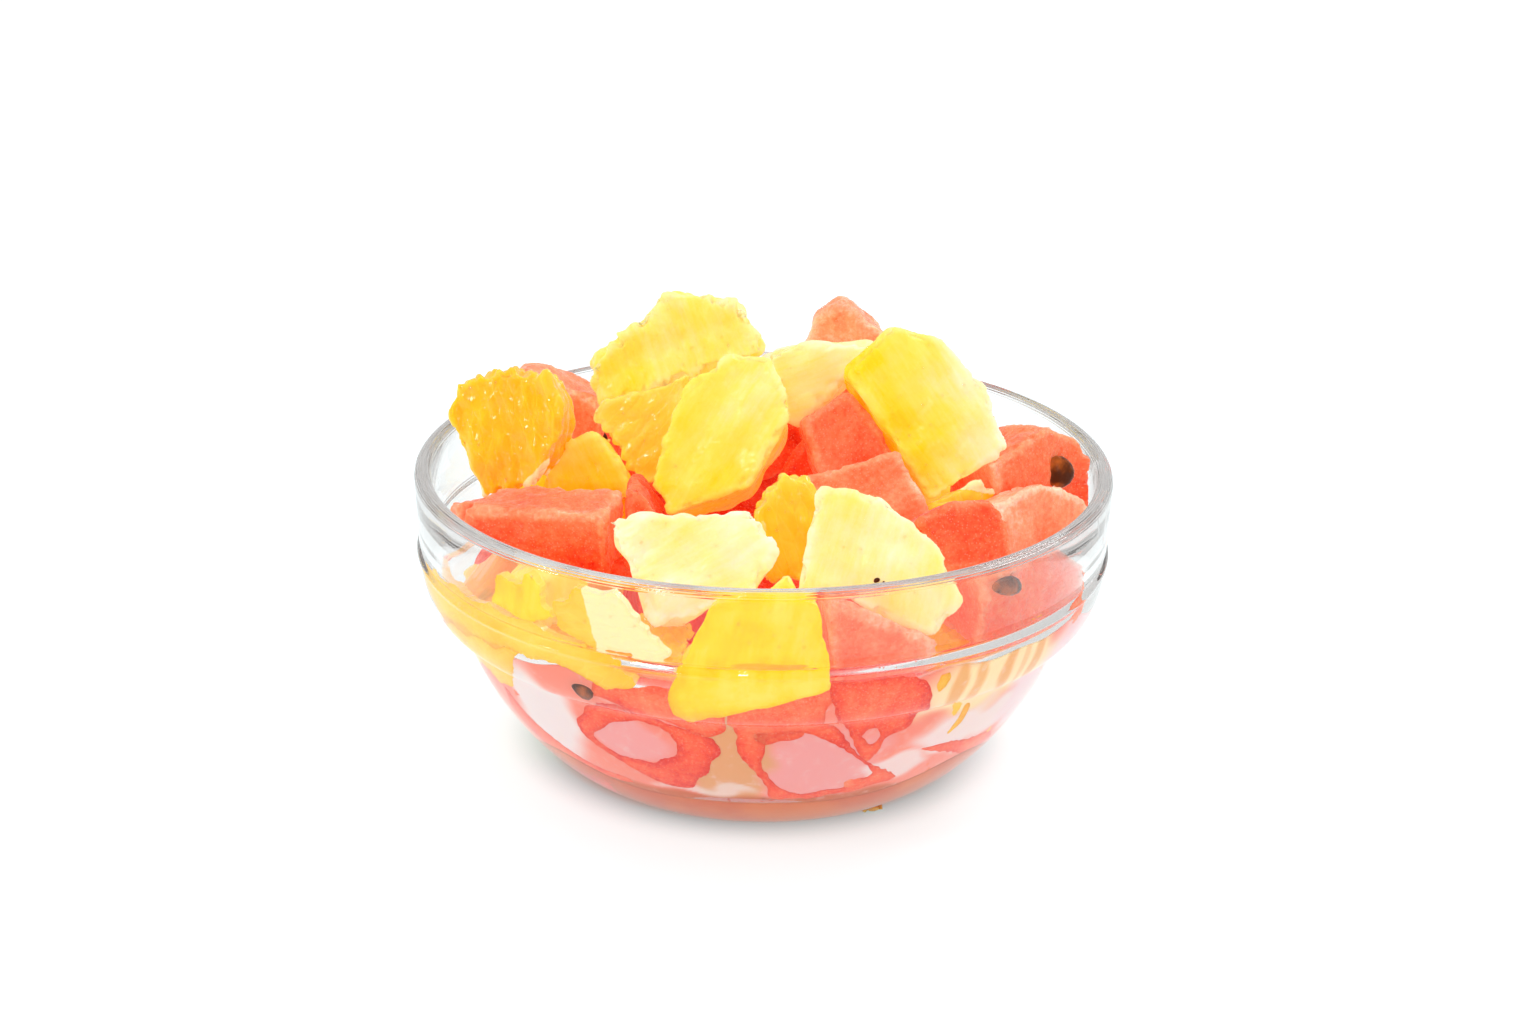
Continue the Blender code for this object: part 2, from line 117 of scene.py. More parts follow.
class Wiring:
    """Adds nodes to one tree and links them as they are made."""

    def __init__(self, tree: bpy.types.NodeTree) -> None:
        """Keeps the tree that the nodes go in."""
        self.tree = tree

    def feed(self, node: bpy.types.Node, inputs: dict) -> bpy.types.Node:
        """Links outputs to a node's inputs, or sets the inputs to plain values.

        Args:
            node: The node.
            inputs: Outputs or plain values, by the inputs' names or numbers.

        Returns:
            The same node.
        """
        for name, source in inputs.items():
            if isinstance(source, bpy.types.NodeSocket):
                self.tree.links.new(source, node.inputs[name])
            else:
                node.inputs[name].default_value = source
        return node

    def add(self, kind: str, inputs: dict | None = None, **settings: object) -> Sockets:
        """Makes a node.

        Args:
            kind: The node's class name.
            inputs: Values or outputs for its inputs, by name or number.
            settings: Properties of the node.

        Returns:
            The new node's outputs.
        """
        node = self.tree.nodes.new(kind)
        for name, value in settings.items():
            setattr(node, name, value)
        return self.feed(node, inputs or {}).outputs

    def maths(self, operation: str, first: object, second: object = 0.0, clamp: bool = False) -> object:
        """The output of a Math node."""
        return self.add("ShaderNodeMath", {0: first, 1: second}, operation=operation, use_clamp=clamp)[0]

    def vectors(self, operation: str, first: object, second: object = (0.0, 0.0, 0.0)) -> object:
        """The output of a Vector Math node: its value for a dot product or a length, else its vector."""
        outputs = self.add("ShaderNodeVectorMath", {0: first, 1: second}, operation=operation)
        return outputs["Value" if operation in ("DOT_PRODUCT", "LENGTH") else "Vector"]

    def scaled(self, vector: object, scale: object = PER_METRE) -> object:
        """A vector times a number: from metres to millimetres, unless another is given."""
        return self.add("ShaderNodeVectorMath", {0: vector, "Scale": scale}, operation="SCALE")[0]

    def parts(self, vector: object) -> Sockets:
        """The three parts of a vector."""
        return self.add("ShaderNodeSeparateXYZ", {0: vector})

    def noted(self, name: str, output: str = "Fac") -> object:
        """What the mesh notes under a name."""
        return self.add("ShaderNodeAttribute", attribute_name=name)[output]

    def place(self) -> object:
        """The place on the object, in metres."""
        return self.add("ShaderNodeTexCoord")["Object"]

    def noise(self, vector: object, scale: object = 1.0, detail: float = 2.0, rough: float = 0.5) -> object:
        """A noise value about 0.5, of so many lumps to a unit and so many finer layers."""
        inputs = {"Vector": vector, "Scale": scale, "Detail": detail, "Roughness": rough}
        return self.add("ShaderNodeTexNoise", inputs)[0]

    def cells(self, vector: object, feature: str, output: str = "Distance", scale: object = 1.0) -> object:
        """One output of a Voronoi texture."""
        return self.add("ShaderNodeTexVoronoi", {"Vector": vector, "Scale": scale}, feature=feature)[output]

    def swing(self, value: object, reach: object) -> object:
        """A noise value moved to swing about 0, times a reach."""
        return self.maths("MULTIPLY", self.maths("SUBTRACT", value, 0.5), reach)

    def ramp(self, share: object, stops: tuple) -> object:
        """A colour from a ramp.

        Args:
            share: Where on the ramp, from 0 to 1.
            stops: Places and colours, in order.

        Returns:
            The colour output.
        """
        colour = self.add("ShaderNodeValToRGB", {0: share})[0]
        points = colour.node.color_ramp.elements
        while len(points) < len(stops):
            points.new(0.5)
        for point, (place, tint) in zip(points, stops):
            point.position, point.color = place, (*tint, 1.0)
        return colour

    def blend(self, share: object, first: object, second: object) -> object:
        """A mix of two colours: the first at share 0, the second at 1."""
        sides = [(*c, 1.0) if isinstance(c, tuple) else c for c in (first, second)]
        return self.add("ShaderNodeMix", {0: share, 6: sides[0], 7: sides[1]}, data_type="RGBA")[2]

    def ease(self, value: object, low: float, high: float, start: object = 0.0, end: object = 1.0) -> object:
        """A value mapped smoothly from one range to another."""
        sockets = {"Value": value, "From Min": low, "From Max": high, "To Min": start, "To Max": end}
        return self.add("ShaderNodeMapRange", sockets, interpolation_type="SMOOTHSTEP")[0]

    def mixed(self, share: object, first: object, second: object) -> object:
        """A mix of two shaders: the first at share 0, the second at 1."""
        return self.add("ShaderNodeMixShader", {0: share, 1: first, 2: second})[0]

    def bump(self, strength: float, distance: float, height: object) -> object:
        """A bumped normal; the distance is in metres."""
        return self.add("ShaderNodeBump", {"Strength": strength, "Distance": distance, "Height": height})[0]

    def noted_points(self, shape: object, name: str, value: object, kind: str = "FLOAT") -> object:
        """A mesh with a value noted at each point, under a name."""
        inputs = {"Geometry": shape, "Name": name, "Value": value}
        return self.add("GeometryNodeStoreNamedAttribute", inputs, data_type=kind, domain="POINT")[0]

    def end_smooth(self, shape: object, finish: object) -> None:
        """Ends a tree: its mesh is shaded smooth and gets its material.

        Args:
            shape: The mesh's output.
            finish: The material, or the output that gives it.
        """
        smooth = self.add("GeometryNodeSetShadeSmooth", {"Geometry": shape})[0]
        dressed = self.add("GeometryNodeSetMaterial", {"Geometry": smooth, "Material": finish})
        self.add("NodeGroupOutput", {"Geometry": dressed[0]})


def new_group(name: str, kind: str, inputs: dict, outputs: dict) -> tuple[Wiring, Sockets]:
    """A node group with named sockets.

    Args:
        name: The group's name.
        kind: The tree's class name.
        inputs: Socket type and default of each input.
        outputs: Socket type of each output.

    Returns:
        The group's wiring, and what its inputs give.
    """
    tree = bpy.data.node_groups.new(name, kind)
    for label, (socket, default) in inputs.items():
        made = tree.interface.new_socket(label, in_out="INPUT", socket_type=socket)
        if default is not None:
            made.default_value = default
    for label, socket in outputs.items():
        tree.interface.new_socket(label, in_out="OUTPUT", socket_type=socket)
    w = Wiring(tree)
    return w, w.add("NodeGroupInput")


def new_shape_tree(name: str, inputs: dict[str, tuple]) -> tuple[Wiring, Sockets]:
    """Geometry Nodes that take a mesh and a material, and these further inputs."""
    both = {"Geometry": (GEOMETRY, None), **inputs, "Finish": (MATERIAL, None)}
    return new_group(name, "GeometryNodeTree", both, {"Geometry": GEOMETRY})


class SharedEffects:
    """Shader node groups that several finishes place, each built once."""

    def __init__(self) -> None:
        """Builds the groups."""
        self.moist = self._moist()
        self.streaks = self._streaks()
        self.veil = self._veil()

    @staticmethod
    def _moist() -> bpy.types.NodeTree:
        """Wet cut flesh: patches of juice that smooth the surface, and fine grain between them.

        Returns:
            The group.
        """
        inputs = {"Vector": (VECTOR, None), "Fineness": (FLOAT, 1.2)}
        inputs |= {"Dry": (FLOAT, 0.4), "Wet": (FLOAT, 0.1)}
        outputs = {"Roughness": FLOAT, "Height": FLOAT}
        w, given = new_group("moist surface", "ShaderNodeTree", inputs, outputs)
        patches = w.ease(w.noise(given["Vector"], 0.16, 3.0, 0.6), 0.42, 0.62)
        grain = w.noise(given["Vector"], given["Fineness"], 3.0, 0.6)
        dry = w.maths("ADD", w.maths("MULTIPLY", grain, 0.12), w.maths("SUBTRACT", given["Dry"], 0.06))
        span = w.maths("SUBTRACT", given["Wet"], dry)
        rough = w.maths("ADD", dry, w.maths("MULTIPLY", span, patches), clamp=True)
        calm = w.maths("SUBTRACT", 1.0, w.maths("MULTIPLY", patches, 0.55))
        w.add("NodeGroupOutput", {"Roughness": rough, "Height": w.maths("MULTIPLY", grain, calm)})
        return w.tree

    @staticmethod
    def _streaks() -> bpy.types.NodeTree:
        """Fibres along the third coordinate: a broad and a fine set, as a mask about 0.5.

        Returns:
            The group.
        """
        inputs = {"Vector": (VECTOR, None), "Fineness": (FLOAT, 0.5), "Length": (FLOAT, 0.1)}
        outputs = {"Mask": FLOAT, "Height": FLOAT}
        w, given = new_group("fibre streaks", "ShaderNodeTree", inputs, outputs)
        stretch = w.add("ShaderNodeCombineXYZ", {0: 1.0, 1: 1.0, 2: given["Length"]})[0]
        sized = w.scaled(w.vectors("MULTIPLY", given["Vector"], stretch), given["Fineness"])
        broad, fine = w.noise(sized, 1.0, 2.0, 0.5), w.noise(sized, 3.1, 3.0, 0.6)
        mask = w.maths("ADD", w.maths("MULTIPLY", broad, 0.6), w.maths("MULTIPLY", fine, 0.4))
        w.add("NodeGroupOutput", {"Mask": mask, "Height": fine})
        return w.tree

    @staticmethod
    def _veil() -> bpy.types.NodeTree:
        """The mist and froth in the air pockets between fruit and glass, which pales the colour.

        Returns:
            The group.
        """
        inputs = {label: (COLOUR, (0.8, 0.6, 0.6, 1)) for label in ("Color", "Mist")}
        inputs |= {"Vector": (VECTOR, None), "Amount": (FLOAT, 0.5)}
        w, given = new_group("mist behind glass", "ShaderNodeTree", inputs, {"Color": COLOUR})
        cloud = w.ease(w.noise(given["Vector"], 0.09, 2.0, 0.5), 0.35, 0.65, 0.55, 1.0)
        share = w.maths("MULTIPLY", w.maths("MULTIPLY", w.noted("veil"), cloud), given["Amount"], clamp=True)
        w.add("NodeGroupOutput", {"Color": w.blend(share, given["Color"], given["Mist"])})
        return w.tree


def new_material(name: str) -> tuple[bpy.types.Material, Wiring, bpy.types.Node]:
    """A new material.

    Args:
        name: Its name.

    Returns:
        The material, the wiring of its tree and its Principled shader.
    """
    made = bpy.data.materials.new(name)
    made.use_nodes = True
    return made, Wiring(made.node_tree), made.node_tree.nodes["Principled BSDF"]


def paint_reflection_in_glass(made: bpy.types.Material, w: Wiring, shader: bpy.types.Node) -> None:
    """Swaps a juicy surface, for light that reflects along inside the glass, for a painted reflection.

    The painted reflection is pale grey, but the brown of the juice in the foot.

    Args:
        made: The material.
        w: Its wiring.
        shader: Its main shader.
    """
    foot, wall = 0.014, 0.025
    # Painted reflection: the brown of the juice in the foot, pale grey higher up
    plain = w.blend(w.ease(w.parts(w.place())[2], foot, wall), srgb(214, 106, 44), (0.84, 0.82, 0.81))
    pale = w.add("ShaderNodeBsdfDiffuse", {"Color": plain})[0]
    path = w.add("ShaderNodeLightPath")
    inside = w.mixed(path["Is Reflection Ray"], shader.outputs[0], pale)
    whole = w.mixed(path["Is Diffuse Ray"], inside, shader.outputs[0])
    w.feed(made.node_tree.nodes["Material Output"], {"Surface": whole})


@dataclass(frozen=True)
class Juiciness:
    """How wet a surface is and how far light runs in it; depth is for red, green and blue. Glow is painted
    light: the surface glows in its own colour, which keeps its shaded sides bright.
    """

    dry: float
    wet: float
    specular: float
    # Strength of the painted glow
    glow: float
    depth: Colour
    subsurface: float
    scale: float = 0.004

    def give(self, w: Wiring, shader: bpy.types.Node, shared: SharedEffects, mm: object) -> object:
        """Sets a shader's moisture, glow and depth.

        Args:
            w: The material's wiring.
            shader: Its main shader.
            shared: The node groups it places.
            mm: The place that its grain follows, in millimetres.

        Returns:
            The height of the grain.
        """
        moisture = {"Vector": mm, "Dry": self.dry, "Wet": self.wet}
        moist = w.add("ShaderNodeGroup", moisture, node_tree=shared.moist)
        sockets = {
            "Roughness": moist["Roughness"], "IOR": JUICE_INDEX, "Specular IOR Level": self.specular,
            "Emission Strength": self.glow, "Subsurface Weight": self.subsurface,
            "Subsurface Radius": self.depth, "Subsurface Scale": self.scale,
        }
        w.feed(shader, sockets)
        return moist["Height"]


@dataclass(frozen=True)
class Flesh:
    """A wet cut fruit: its colours from pale to deep, its moisture and how far light runs in it."""

    name: str
    # Places on the ramp and the colours there, as three bytes
    stops: tuple
    rind: Colour
    mist: Colour
    juiciness: Juiciness
    streak: float
    fineness: float
    length: float
    blotch: float
    grain: float
    bump: float
    cell_size: tuple = (0.0, 0.0, 0.0)
    cell_tone: float = 0.0
    # How much paler the edges are, a painted highlight, and how much deeper a pressed face's outline is,
    # painted shade
    edge: float = 0.12
    sparkle: float = 0.0
    coat: float = 0.0

    def build(self, shared: SharedEffects) -> bpy.types.Material:
        """Makes the material.

        Args:
            shared: The node groups it places.

        Returns:
            The material.
        """
        made, w, shader = new_material(self.name)
        stops = [(place, srgb(*colour)) for place, *colour in self.stops]
        mm = w.scaled(w.noted("grain", "Vector"))
        fibres = {"Vector": mm, "Fineness": self.fineness, "Length": self.length}
        streaks = w.add("ShaderNodeGroup", fibres, node_tree=shared.streaks)
        tone, height = w.noted("tone"), streaks["Height"]
        blotches, grain = w.noise(mm, 0.075, 2.0), w.noise(mm, 0.9, 3.0, 0.65)
        for value, reach in ((streaks["Mask"], self.streak), (blotches, self.blotch), (grain, self.grain)):
            tone = w.maths("ADD", tone, w.swing(value, reach))
        if self.cell_tone:
            sized = w.vectors("MULTIPLY", mm, self.cell_size)
            edge = w.cells(sized, "DISTANCE_TO_EDGE")
            tone = w.maths("ADD", tone, w.swing(w.cells(sized, "F1", "Color"), self.cell_tone))
            skins = w.ease(edge, 0.0, 0.09, self.cell_tone * 0.9, 0.0)
            tone = w.maths("SUBTRACT", tone, skins, clamp=True)
            height = w.maths("ADD", height, w.ease(edge, 0.0, 0.12))
        # Painted highlight: paler along the chunk's edges. Round a pressed face's outline the colour deepens
        # instead: painted shade, with the meniscus of juice where it meets the glass
        tone = w.maths("SUBTRACT", tone, w.maths("MULTIPLY", w.noted("edge"), self.edge), clamp=True)
        colour = w.ramp(tone, stops)
        # Painted glints: small dots of the palest colour in the middle of fine cells
        if self.sparkle:
            glint = w.ease(w.cells(mm, "F1", "Distance", 1.35), 0.0, 0.35, self.sparkle, 0.0)
            colour = w.blend(glint, colour, stops[0][1])
        ragged = w.maths("ADD", w.noted("rind"), w.swing(w.noise(mm, 0.5, 3.0, 0.6), 0.7))
        colour = w.blend(w.ease(ragged, 0.4, 0.62), colour, self.rind)
        misty = {"Color": colour, "Vector": mm, "Mist": (*self.mist, 1.0), "Amount": 0.75}
        veiled = w.add("ShaderNodeGroup", misty, node_tree=shared.veil)[0]
        fine = self.juiciness.give(w, shader, shared, mm)
        height = w.maths("ADD", w.maths("MULTIPLY", height, 0.5), fine)
        # Painted light: the flesh glows in its own colour, standing in for light that runs through the juicy
        # flesh, and keeps its shaded sides bright
        sockets = {
            "Base Color": veiled, "Emission Color": veiled, "Normal": w.bump(0.6, self.bump * MM, height),
            "Coat Weight": self.coat, "Coat Roughness": 0.06,
        }
        w.feed(shader, sockets)
        paint_reflection_in_glass(made, w, shader)
        return made


@dataclass(frozen=True)
class ClearGlass:
    """Pressed clear glass that lets lamps and bounced light through unbent."""

    tint: Colour = (0.972, 0.958, 0.952)
    index: float = 1.47
    body: Colour = (0.43, 0.37, 0.34)
    density: float = 12.0

    def build(self) -> bpy.types.Material:
        """Makes the material.

        Returns:
            The material.
        """
        made, w, shader = new_material("clear pressed glass")
        place = w.place()
        sockets = {
            "Base Color": (*self.tint, 1.0), "Transmission Weight": 1.0, "IOR": self.index,
            "Normal": w.bump(0.25, 0.4 * MM, w.noise(place, 38.0, 1.0, 0.4)),
            "Roughness": w.ease(w.noise(place, 90.0, 4.0, 0.6), 0.5, 0.75, 0.0, 0.018),
        }
        surface = w.feed(shader, sockets).outputs[0]
        path = w.add("ShaderNodeLightPath")
        clear = w.add("ShaderNodeBsdfTransparent", {"Color": (0.97, 0.975, 0.975, 1.0)})[0]
        for ray in ("Is Diffuse Ray", "Is Shadow Ray"):
            surface = w.mixed(path[ray], surface, clear)
        body = w.add("ShaderNodeVolumeAbsorption", {"Color": (*self.body, 1.0), "Density": self.density})[0]
        w.feed(made.node_tree.nodes["Material Output"], {"Surface": surface, "Volume": body})
        return made


@dataclass(frozen=True)
class PooledJuice:
    """Cloudy juice of all three fruits."""

    deep: Colour = srgb(200, 80, 10)
    pale: Colour = srgb(212, 104, 30)
    juiciness: Juiciness = Juiciness(0.12, 0.04, 0.0, glow=0.12, depth=(1.0, 0.5, 0.25), subsurface=0.5)

    def build(self, shared: SharedEffects) -> bpy.types.Material:
        """Makes the material.

        Args:
            shared: The node groups it places.

        Returns:
            The material.
        """
        made, w, shader = new_material("cloudy juice")
        mm = w.scaled(w.place())
        amber = w.blend(w.ease(w.noise(mm, 0.06, 3.0, 0.55), 0.35, 0.65), self.deep, self.pale)
        # Painted light: the juice glows in its own amber
        w.feed(shader, {"Base Color": amber, "Emission Color": amber})
        self.juiciness.give(w, shader, shared, mm)
        return made


class Wash(Enum):
    """The colours of thin juice on glass. The film is pink but where another is washed over it."""

    TAN = srgb(192, 88, 30)
    UMBER = srgb(224, 158, 108)
    PINK = srgb(252, 134, 114)
    ROSE = srgb(242, 156, 153)
    # Pale mist on the glass; the thin line of it over the juice is a painted highlight
    MIST = srgb(240, 222, 217)
    PEACH = srgb(252, 220, 170)
    LILAC = srgb(240, 212, 216)
    AMBER = srgb(236, 164, 96)


@dataclass(frozen=True)
class FrothyFilm:
    """Thin juice and fine froth on glass, in the colours that its mesh notes."""

    froth: Colour = srgb(248, 222, 216)
    juiciness: Juiciness = Juiciness(0.3, 0.1, 0.1, 0.15, depth=(1.0, 0.5, 0.3), subsurface=0.4, scale=0.003)

    def build(self, shared: SharedEffects) -> bpy.types.Material:
        """Makes the material.

        Args:
            shared: The node groups it places.

        Returns:
            The material.
        """
        made, w, shader = new_material("juice film on glass")
        mm, wash = w.scaled(w.place()), w.noted("wash", "Color")
        froth = w.ease(w.noise(mm, 0.35, 4.0, 0.6), 0.52, 0.8, 0.0, 0.35)
        # Painted light: the film glows in the colour of its wash
        w.feed(shader, {"Base Color": w.blend(froth, wash, self.froth), "Emission Color": wash})
        self.juiciness.give(w, shader, shared, mm)
        paint_reflection_in_glass(made, w, shader)
        return made


@dataclass(frozen=True)
class SeedCoat:
    """The hard dark coat of a ripe melon seed."""

    dark: Colour = srgb(70, 30, 10)
    light: Colour = srgb(172, 84, 30)

    def build(self) -> bpy.types.Material:
        """Makes the material.

        Returns:
            The material.
        """
        made, w, shader = new_material("seed coat")
        spots = w.ease(w.noise(w.place(), 210.0, 3.0, 0.5), 0.35, 0.7)
        brown = w.blend(spots, self.dark, self.light)
        # Painted light: the seed glows in its own browns
        sockets = {
            "Base Color": brown, "Emission Color": brown, "Emission Strength": 0.45,
            "Specular IOR Level": 0.08, "Roughness": w.ease(spots, 0.0, 1.0, 0.2, 0.36),
            "Normal": w.bump(0.4, 0.2 * MM, spots),
        }
        w.feed(shader, sockets)
        return made


@dataclass(frozen=True)
class ClearJuice:
    """Drops and bubbles of thin clear juice."""

    tint: Colour = (1.0, 0.965, 0.9)

    def build(self) -> bpy.types.Material:
        """Makes the material.

        Returns:
            The material.
        """
        made, w, shader = new_material("clear juice")
        rough = w.ease(w.noise(w.place(), 300.0, 2.0), 0.4, 0.7, 0.0, 0.06)
        clear = {"Base Color": (*self.tint, 1.0), "Transmission Weight": 1.0, "IOR": JUICE_INDEX}
        w.feed(shader, {**clear, "Roughness": rough})
        return made


@dataclass(frozen=True)
class PaleFloor:
    """The plain pale table top, which glows a little, but less close under the bowl: a painted shadow,
    orange-brown right under it as painted light through the juice.
    """

    colour: Colour = (0.35, 0.44, 0.46)
    under_bowl: tuple = (-0.001, 0.012, 0.0)
    # Its glow, with its painted shadow, from under the bowl, where it is painted the orange-brown of light
    # through the juice, outward, and where it starts and ends to change
    stops: tuple = (
        (0.0, (0.5, 0.16, 0.05)),
        (0.25, (0.32, 0.23, 0.19)),
        (0.45, (0.43, 0.505, 0.515)),
        (1.0, (0.98, 0.98, 0.98)),
    )
    near: float = 0.0445
    far: float = 0.0675
    glow: float = 0.72

    def build(self) -> bpy.types.Material:
        """Makes the material.

        Returns:
            The material.
        """
        made, w, shader = new_material("pale table")
        place = w.place()
        worn = tuple(c * 0.985 for c in self.colour)
        away = w.vectors("LENGTH", w.vectors("SUBTRACT", place, self.under_bowl))
        sockets = {
            "Base Color": w.blend(w.noise(place, 14.0, 3.0), self.colour, worn), "Roughness": 0.7,
            # The painted shadow: the glow dims and browns near the bowl
            "Emission Color": w.ramp(w.ease(away, self.near, self.far), self.stops),
            "Emission Strength": self.glow,
        }
        w.feed(shader, sockets)
        return made


PINEAPPLE_FLESH = Flesh(
    "pineapple flesh",
    stops=(
        (0.0, 248, 236, 206), (0.3, 248, 228, 156), (0.55, 249, 219, 92),
        (0.8, 250, 208, 26), (1.0, 246, 188, 8),
    ),
    rind=srgb(252, 214, 150),
    mist=srgb(250, 226, 190),
    juiciness=Juiciness(0.36, 0.12, specular=0.4, glow=0.25, depth=(1.0, 0.75, 0.3), subsurface=0.6),
    streak=0.5, fineness=0.35, length=0.16, blotch=0.75, grain=0.14, bump=0.22,
)
MELON_FLESH = Flesh(
    "watermelon flesh",
    stops=(
        (0.0, 252, 200, 170), (0.25, 250, 156, 114), (0.5, 248, 122, 78),
        (0.75, 244, 86, 44), (1.0, 222, 38, 14),
    ),
    rind=srgb(250, 190, 160),
    mist=srgb(238, 176, 176),
    juiciness=Juiciness(0.36, 0.12, specular=0.4, glow=0.25, depth=(1.0, 0.35, 0.2), subsurface=0.55),
    streak=0.35, fineness=0.3, length=0.25, blotch=0.7, grain=0.6, bump=0.6, sparkle=0.35, edge=0.2,
)
ORANGE_FLESH = Flesh(
    "orange pulp",
    stops=(
        (0.0, 254, 228, 130), (0.3, 253, 208, 70), (0.6, 252, 188, 20),
        (0.85, 250, 166, 6), (1.0, 240, 134, 4),
    ),
    rind=srgb(254, 226, 168),
    mist=srgb(248, 212, 160),
    juiciness=Juiciness(0.12, 0.06, specular=0.4, glow=0.25, depth=(1.0, 0.55, 0.12), subsurface=0.6),
    streak=0.3, fineness=0.3, length=0.2, blotch=0.5, grain=0.05, bump=0.3,
    cell_size=(0.34, 0.34, 0.125), cell_tone=0.06, coat=0.5,
)
FALLEN_PULP = replace(
    ORANGE_FLESH,
    name="fallen pulp",
    stops=((0.0, 224, 168, 96), (0.5, 196, 122, 52), (1.0, 168, 92, 34)),
    blotch=1.4,
    juiciness=replace(ORANGE_FLESH.juiciness, glow=0.0),
)
FLESH = {Fruit.PINEAPPLE: PINEAPPLE_FLESH, Fruit.WATERMELON: MELON_FLESH, Fruit.ORANGE: ORANGE_FLESH}


@dataclass(frozen=True)
class Relief:
    """How a fruit's cut faces rise and fall, in millimetres.

    It has soft lumps, fine grain, tears that are deepest along the edges, juice sacs that bulge at their
    ends, and the dimples of the skin side. Soft is how many times its edges are smoothed first.
    """

    soft: int
    lump_size: float
    lump_height: float
    grain_size: tuple
    grain_height: float
    tear_size: tuple
    tear_depth: float
    sac_size: tuple = (4.0, 4.0, 4.0)
    sac_height: float = 0.0
    sac_end_height: float = 0.0
    dimple_size: float = 6.5
    dimple_height: float = 1.8

    def inputs(self, rough: float, dimpled: bool) -> dict[str, object]:
        """The inputs of the cut fruit's nodes.

        Args:
            rough: How uneven the cut is.
            dimpled: Whether the chunk has a skin side.

        Returns:
            Values by name.
        """
        values = {name.replace("_", " ").title(): value for name, value in asdict(self).items()}
        for name in ("Lump Height", "Grain Height", "Tear Depth", "Sac End Height"):
            values[name] *= rough
        values["Dimple Height"] *= float(dimpled)
        return values


RELIEF = {
    Fruit.PINEAPPLE: Relief(14, 11.0, 4.5, (1.6, 1.6, 9.0), 0.35, (3.4, 3.4, 5.0), 1.6),
    Fruit.WATERMELON: Relief(7, 10.0, 3.4, (1.2, 1.2, 1.5), 0.7, (3.0, 3.0, 4.0), 1.1),
    Fruit.ORANGE: Relief(8, 9.0, 2.5, (1.6, 1.6, 4.0), 0.3, (3.0, 3.0, 7.0), 0.8, (2.9, 2.9, 8.0), 0.75, 1.6),
}


class CutSurfaceTree:
    """Geometry Nodes that turn a plain solid into cut fruit, and note each point's place in the grain."""

    directions: tuple = ("Centre", "Across", "Outwards", "Along", "Shift", "Skin Side")
    lengths: tuple = ("Grain Size", "Tear Size", "Sac Size")
    heights: tuple = (
        "Lump Size", "Lump Height", "Grain Height", "Tear Depth",
        "Sac Height", "Sac End Height", "Dimple Size", "Dimple Height",
    )

    def __init__(self) -> None:
        """Builds the tree."""
        inputs = dict.fromkeys(self.directions + self.lengths, (VECTOR, (1.0, 1.0, 1.0)))
        inputs |= dict.fromkeys(self.heights, (FLOAT, 1.0))
        w, given = new_shape_tree("cut fruit", inputs)
        self.tree = w.tree
        offset = w.vectors("SUBTRACT", w.add("GeometryNodeInputPosition")[0], given["Centre"])
        axes = [given[label] for label in ("Across", "Outwards", "Along")]
        place = {i: w.vectors("DOT_PRODUCT", offset, axis) for i, axis in enumerate(axes)}
        facing = w.add("GeometryNodeInputNormal")[0]
        shifted = w.vectors("ADD", w.add("ShaderNodeCombineXYZ", place)[0], given["Shift"])
        mm = w.scaled(shifted)
        lumps = w.noise(mm, w.maths("DIVIDE", 1.0, given["Lump Size"]), 1.0)
        height = w.swing(lumps, given["Lump Height"])
        grain = w.noise(w.vectors("DIVIDE", mm, given["Grain Size"]), 1.0, 2.0, 0.55)
        height = w.maths("ADD", height, w.swing(grain, given["Grain Height"]))
        spread = {"Value": facing, "Iterations": 5}
        even = w.add("GeometryNodeBlurAttribute", spread, data_type="FLOAT_VECTOR")
        # The blurred normal is shortest along an edge
        edge = w.ease(w.vectors("LENGTH", even[0]), 0.995, 0.93)
        tears = w.noise(w.vectors("DIVIDE", mm, given["Tear Size"]), 1.0, 2.0, 0.6)
        frayed = w.maths("ADD", w.maths("MULTIPLY", edge, 0.85), 0.15)
        torn = w.maths("MULTIPLY", w.ease(tears, 0.45, 0.68, 0.15, -0.85), frayed)
        height = w.maths("ADD", height, w.maths("MULTIPLY", torn, given["Tear Depth"]))
        sac = w.ease(w.cells(w.vectors("DIVIDE", mm, given["Sac Size"]), "F1"), 0.1, 0.75, 0.5, -0.5)
        end_on = w.ease(w.maths("ABSOLUTE", w.vectors("DOT_PRODUCT", facing, given["Along"])), 0.35, 0.8)
        span = w.maths("SUBTRACT", given["Sac End Height"], given["Sac Height"])
        sac_height = w.maths("ADD", given["Sac Height"], w.maths("MULTIPLY", span, end_on))
        height = w.maths("ADD", height, w.maths("MULTIPLY", sac, sac_height))
        eyes = w.cells(mm, "F1", "Distance", w.maths("DIVIDE", 1.0, given["Dimple Size"]))
        skin = w.ease(w.vectors("DOT_PRODUCT", facing, given["Skin Side"]), 0.45, 0.85)
        dimple = w.maths("MULTIPLY", w.ease(eyes, 0.1, 0.8, 0.45, -0.55), skin)
        dimple = w.maths("MULTIPLY", dimple, given["Dimple Height"])
        height = w.maths("MULTIPLY", w.maths("ADD", height, dimple), MM)
        noted = w.noted_points(given["Geometry"], "grain", shifted, "FLOAT_VECTOR")
        noted = w.noted_points(noted, "edge", edge)
        moved = w.add("GeometryNodeSetPosition", {"Geometry": noted, "Offset": w.scaled(facing, height)})
        w.end_smooth(moved[0], given["Finish"])


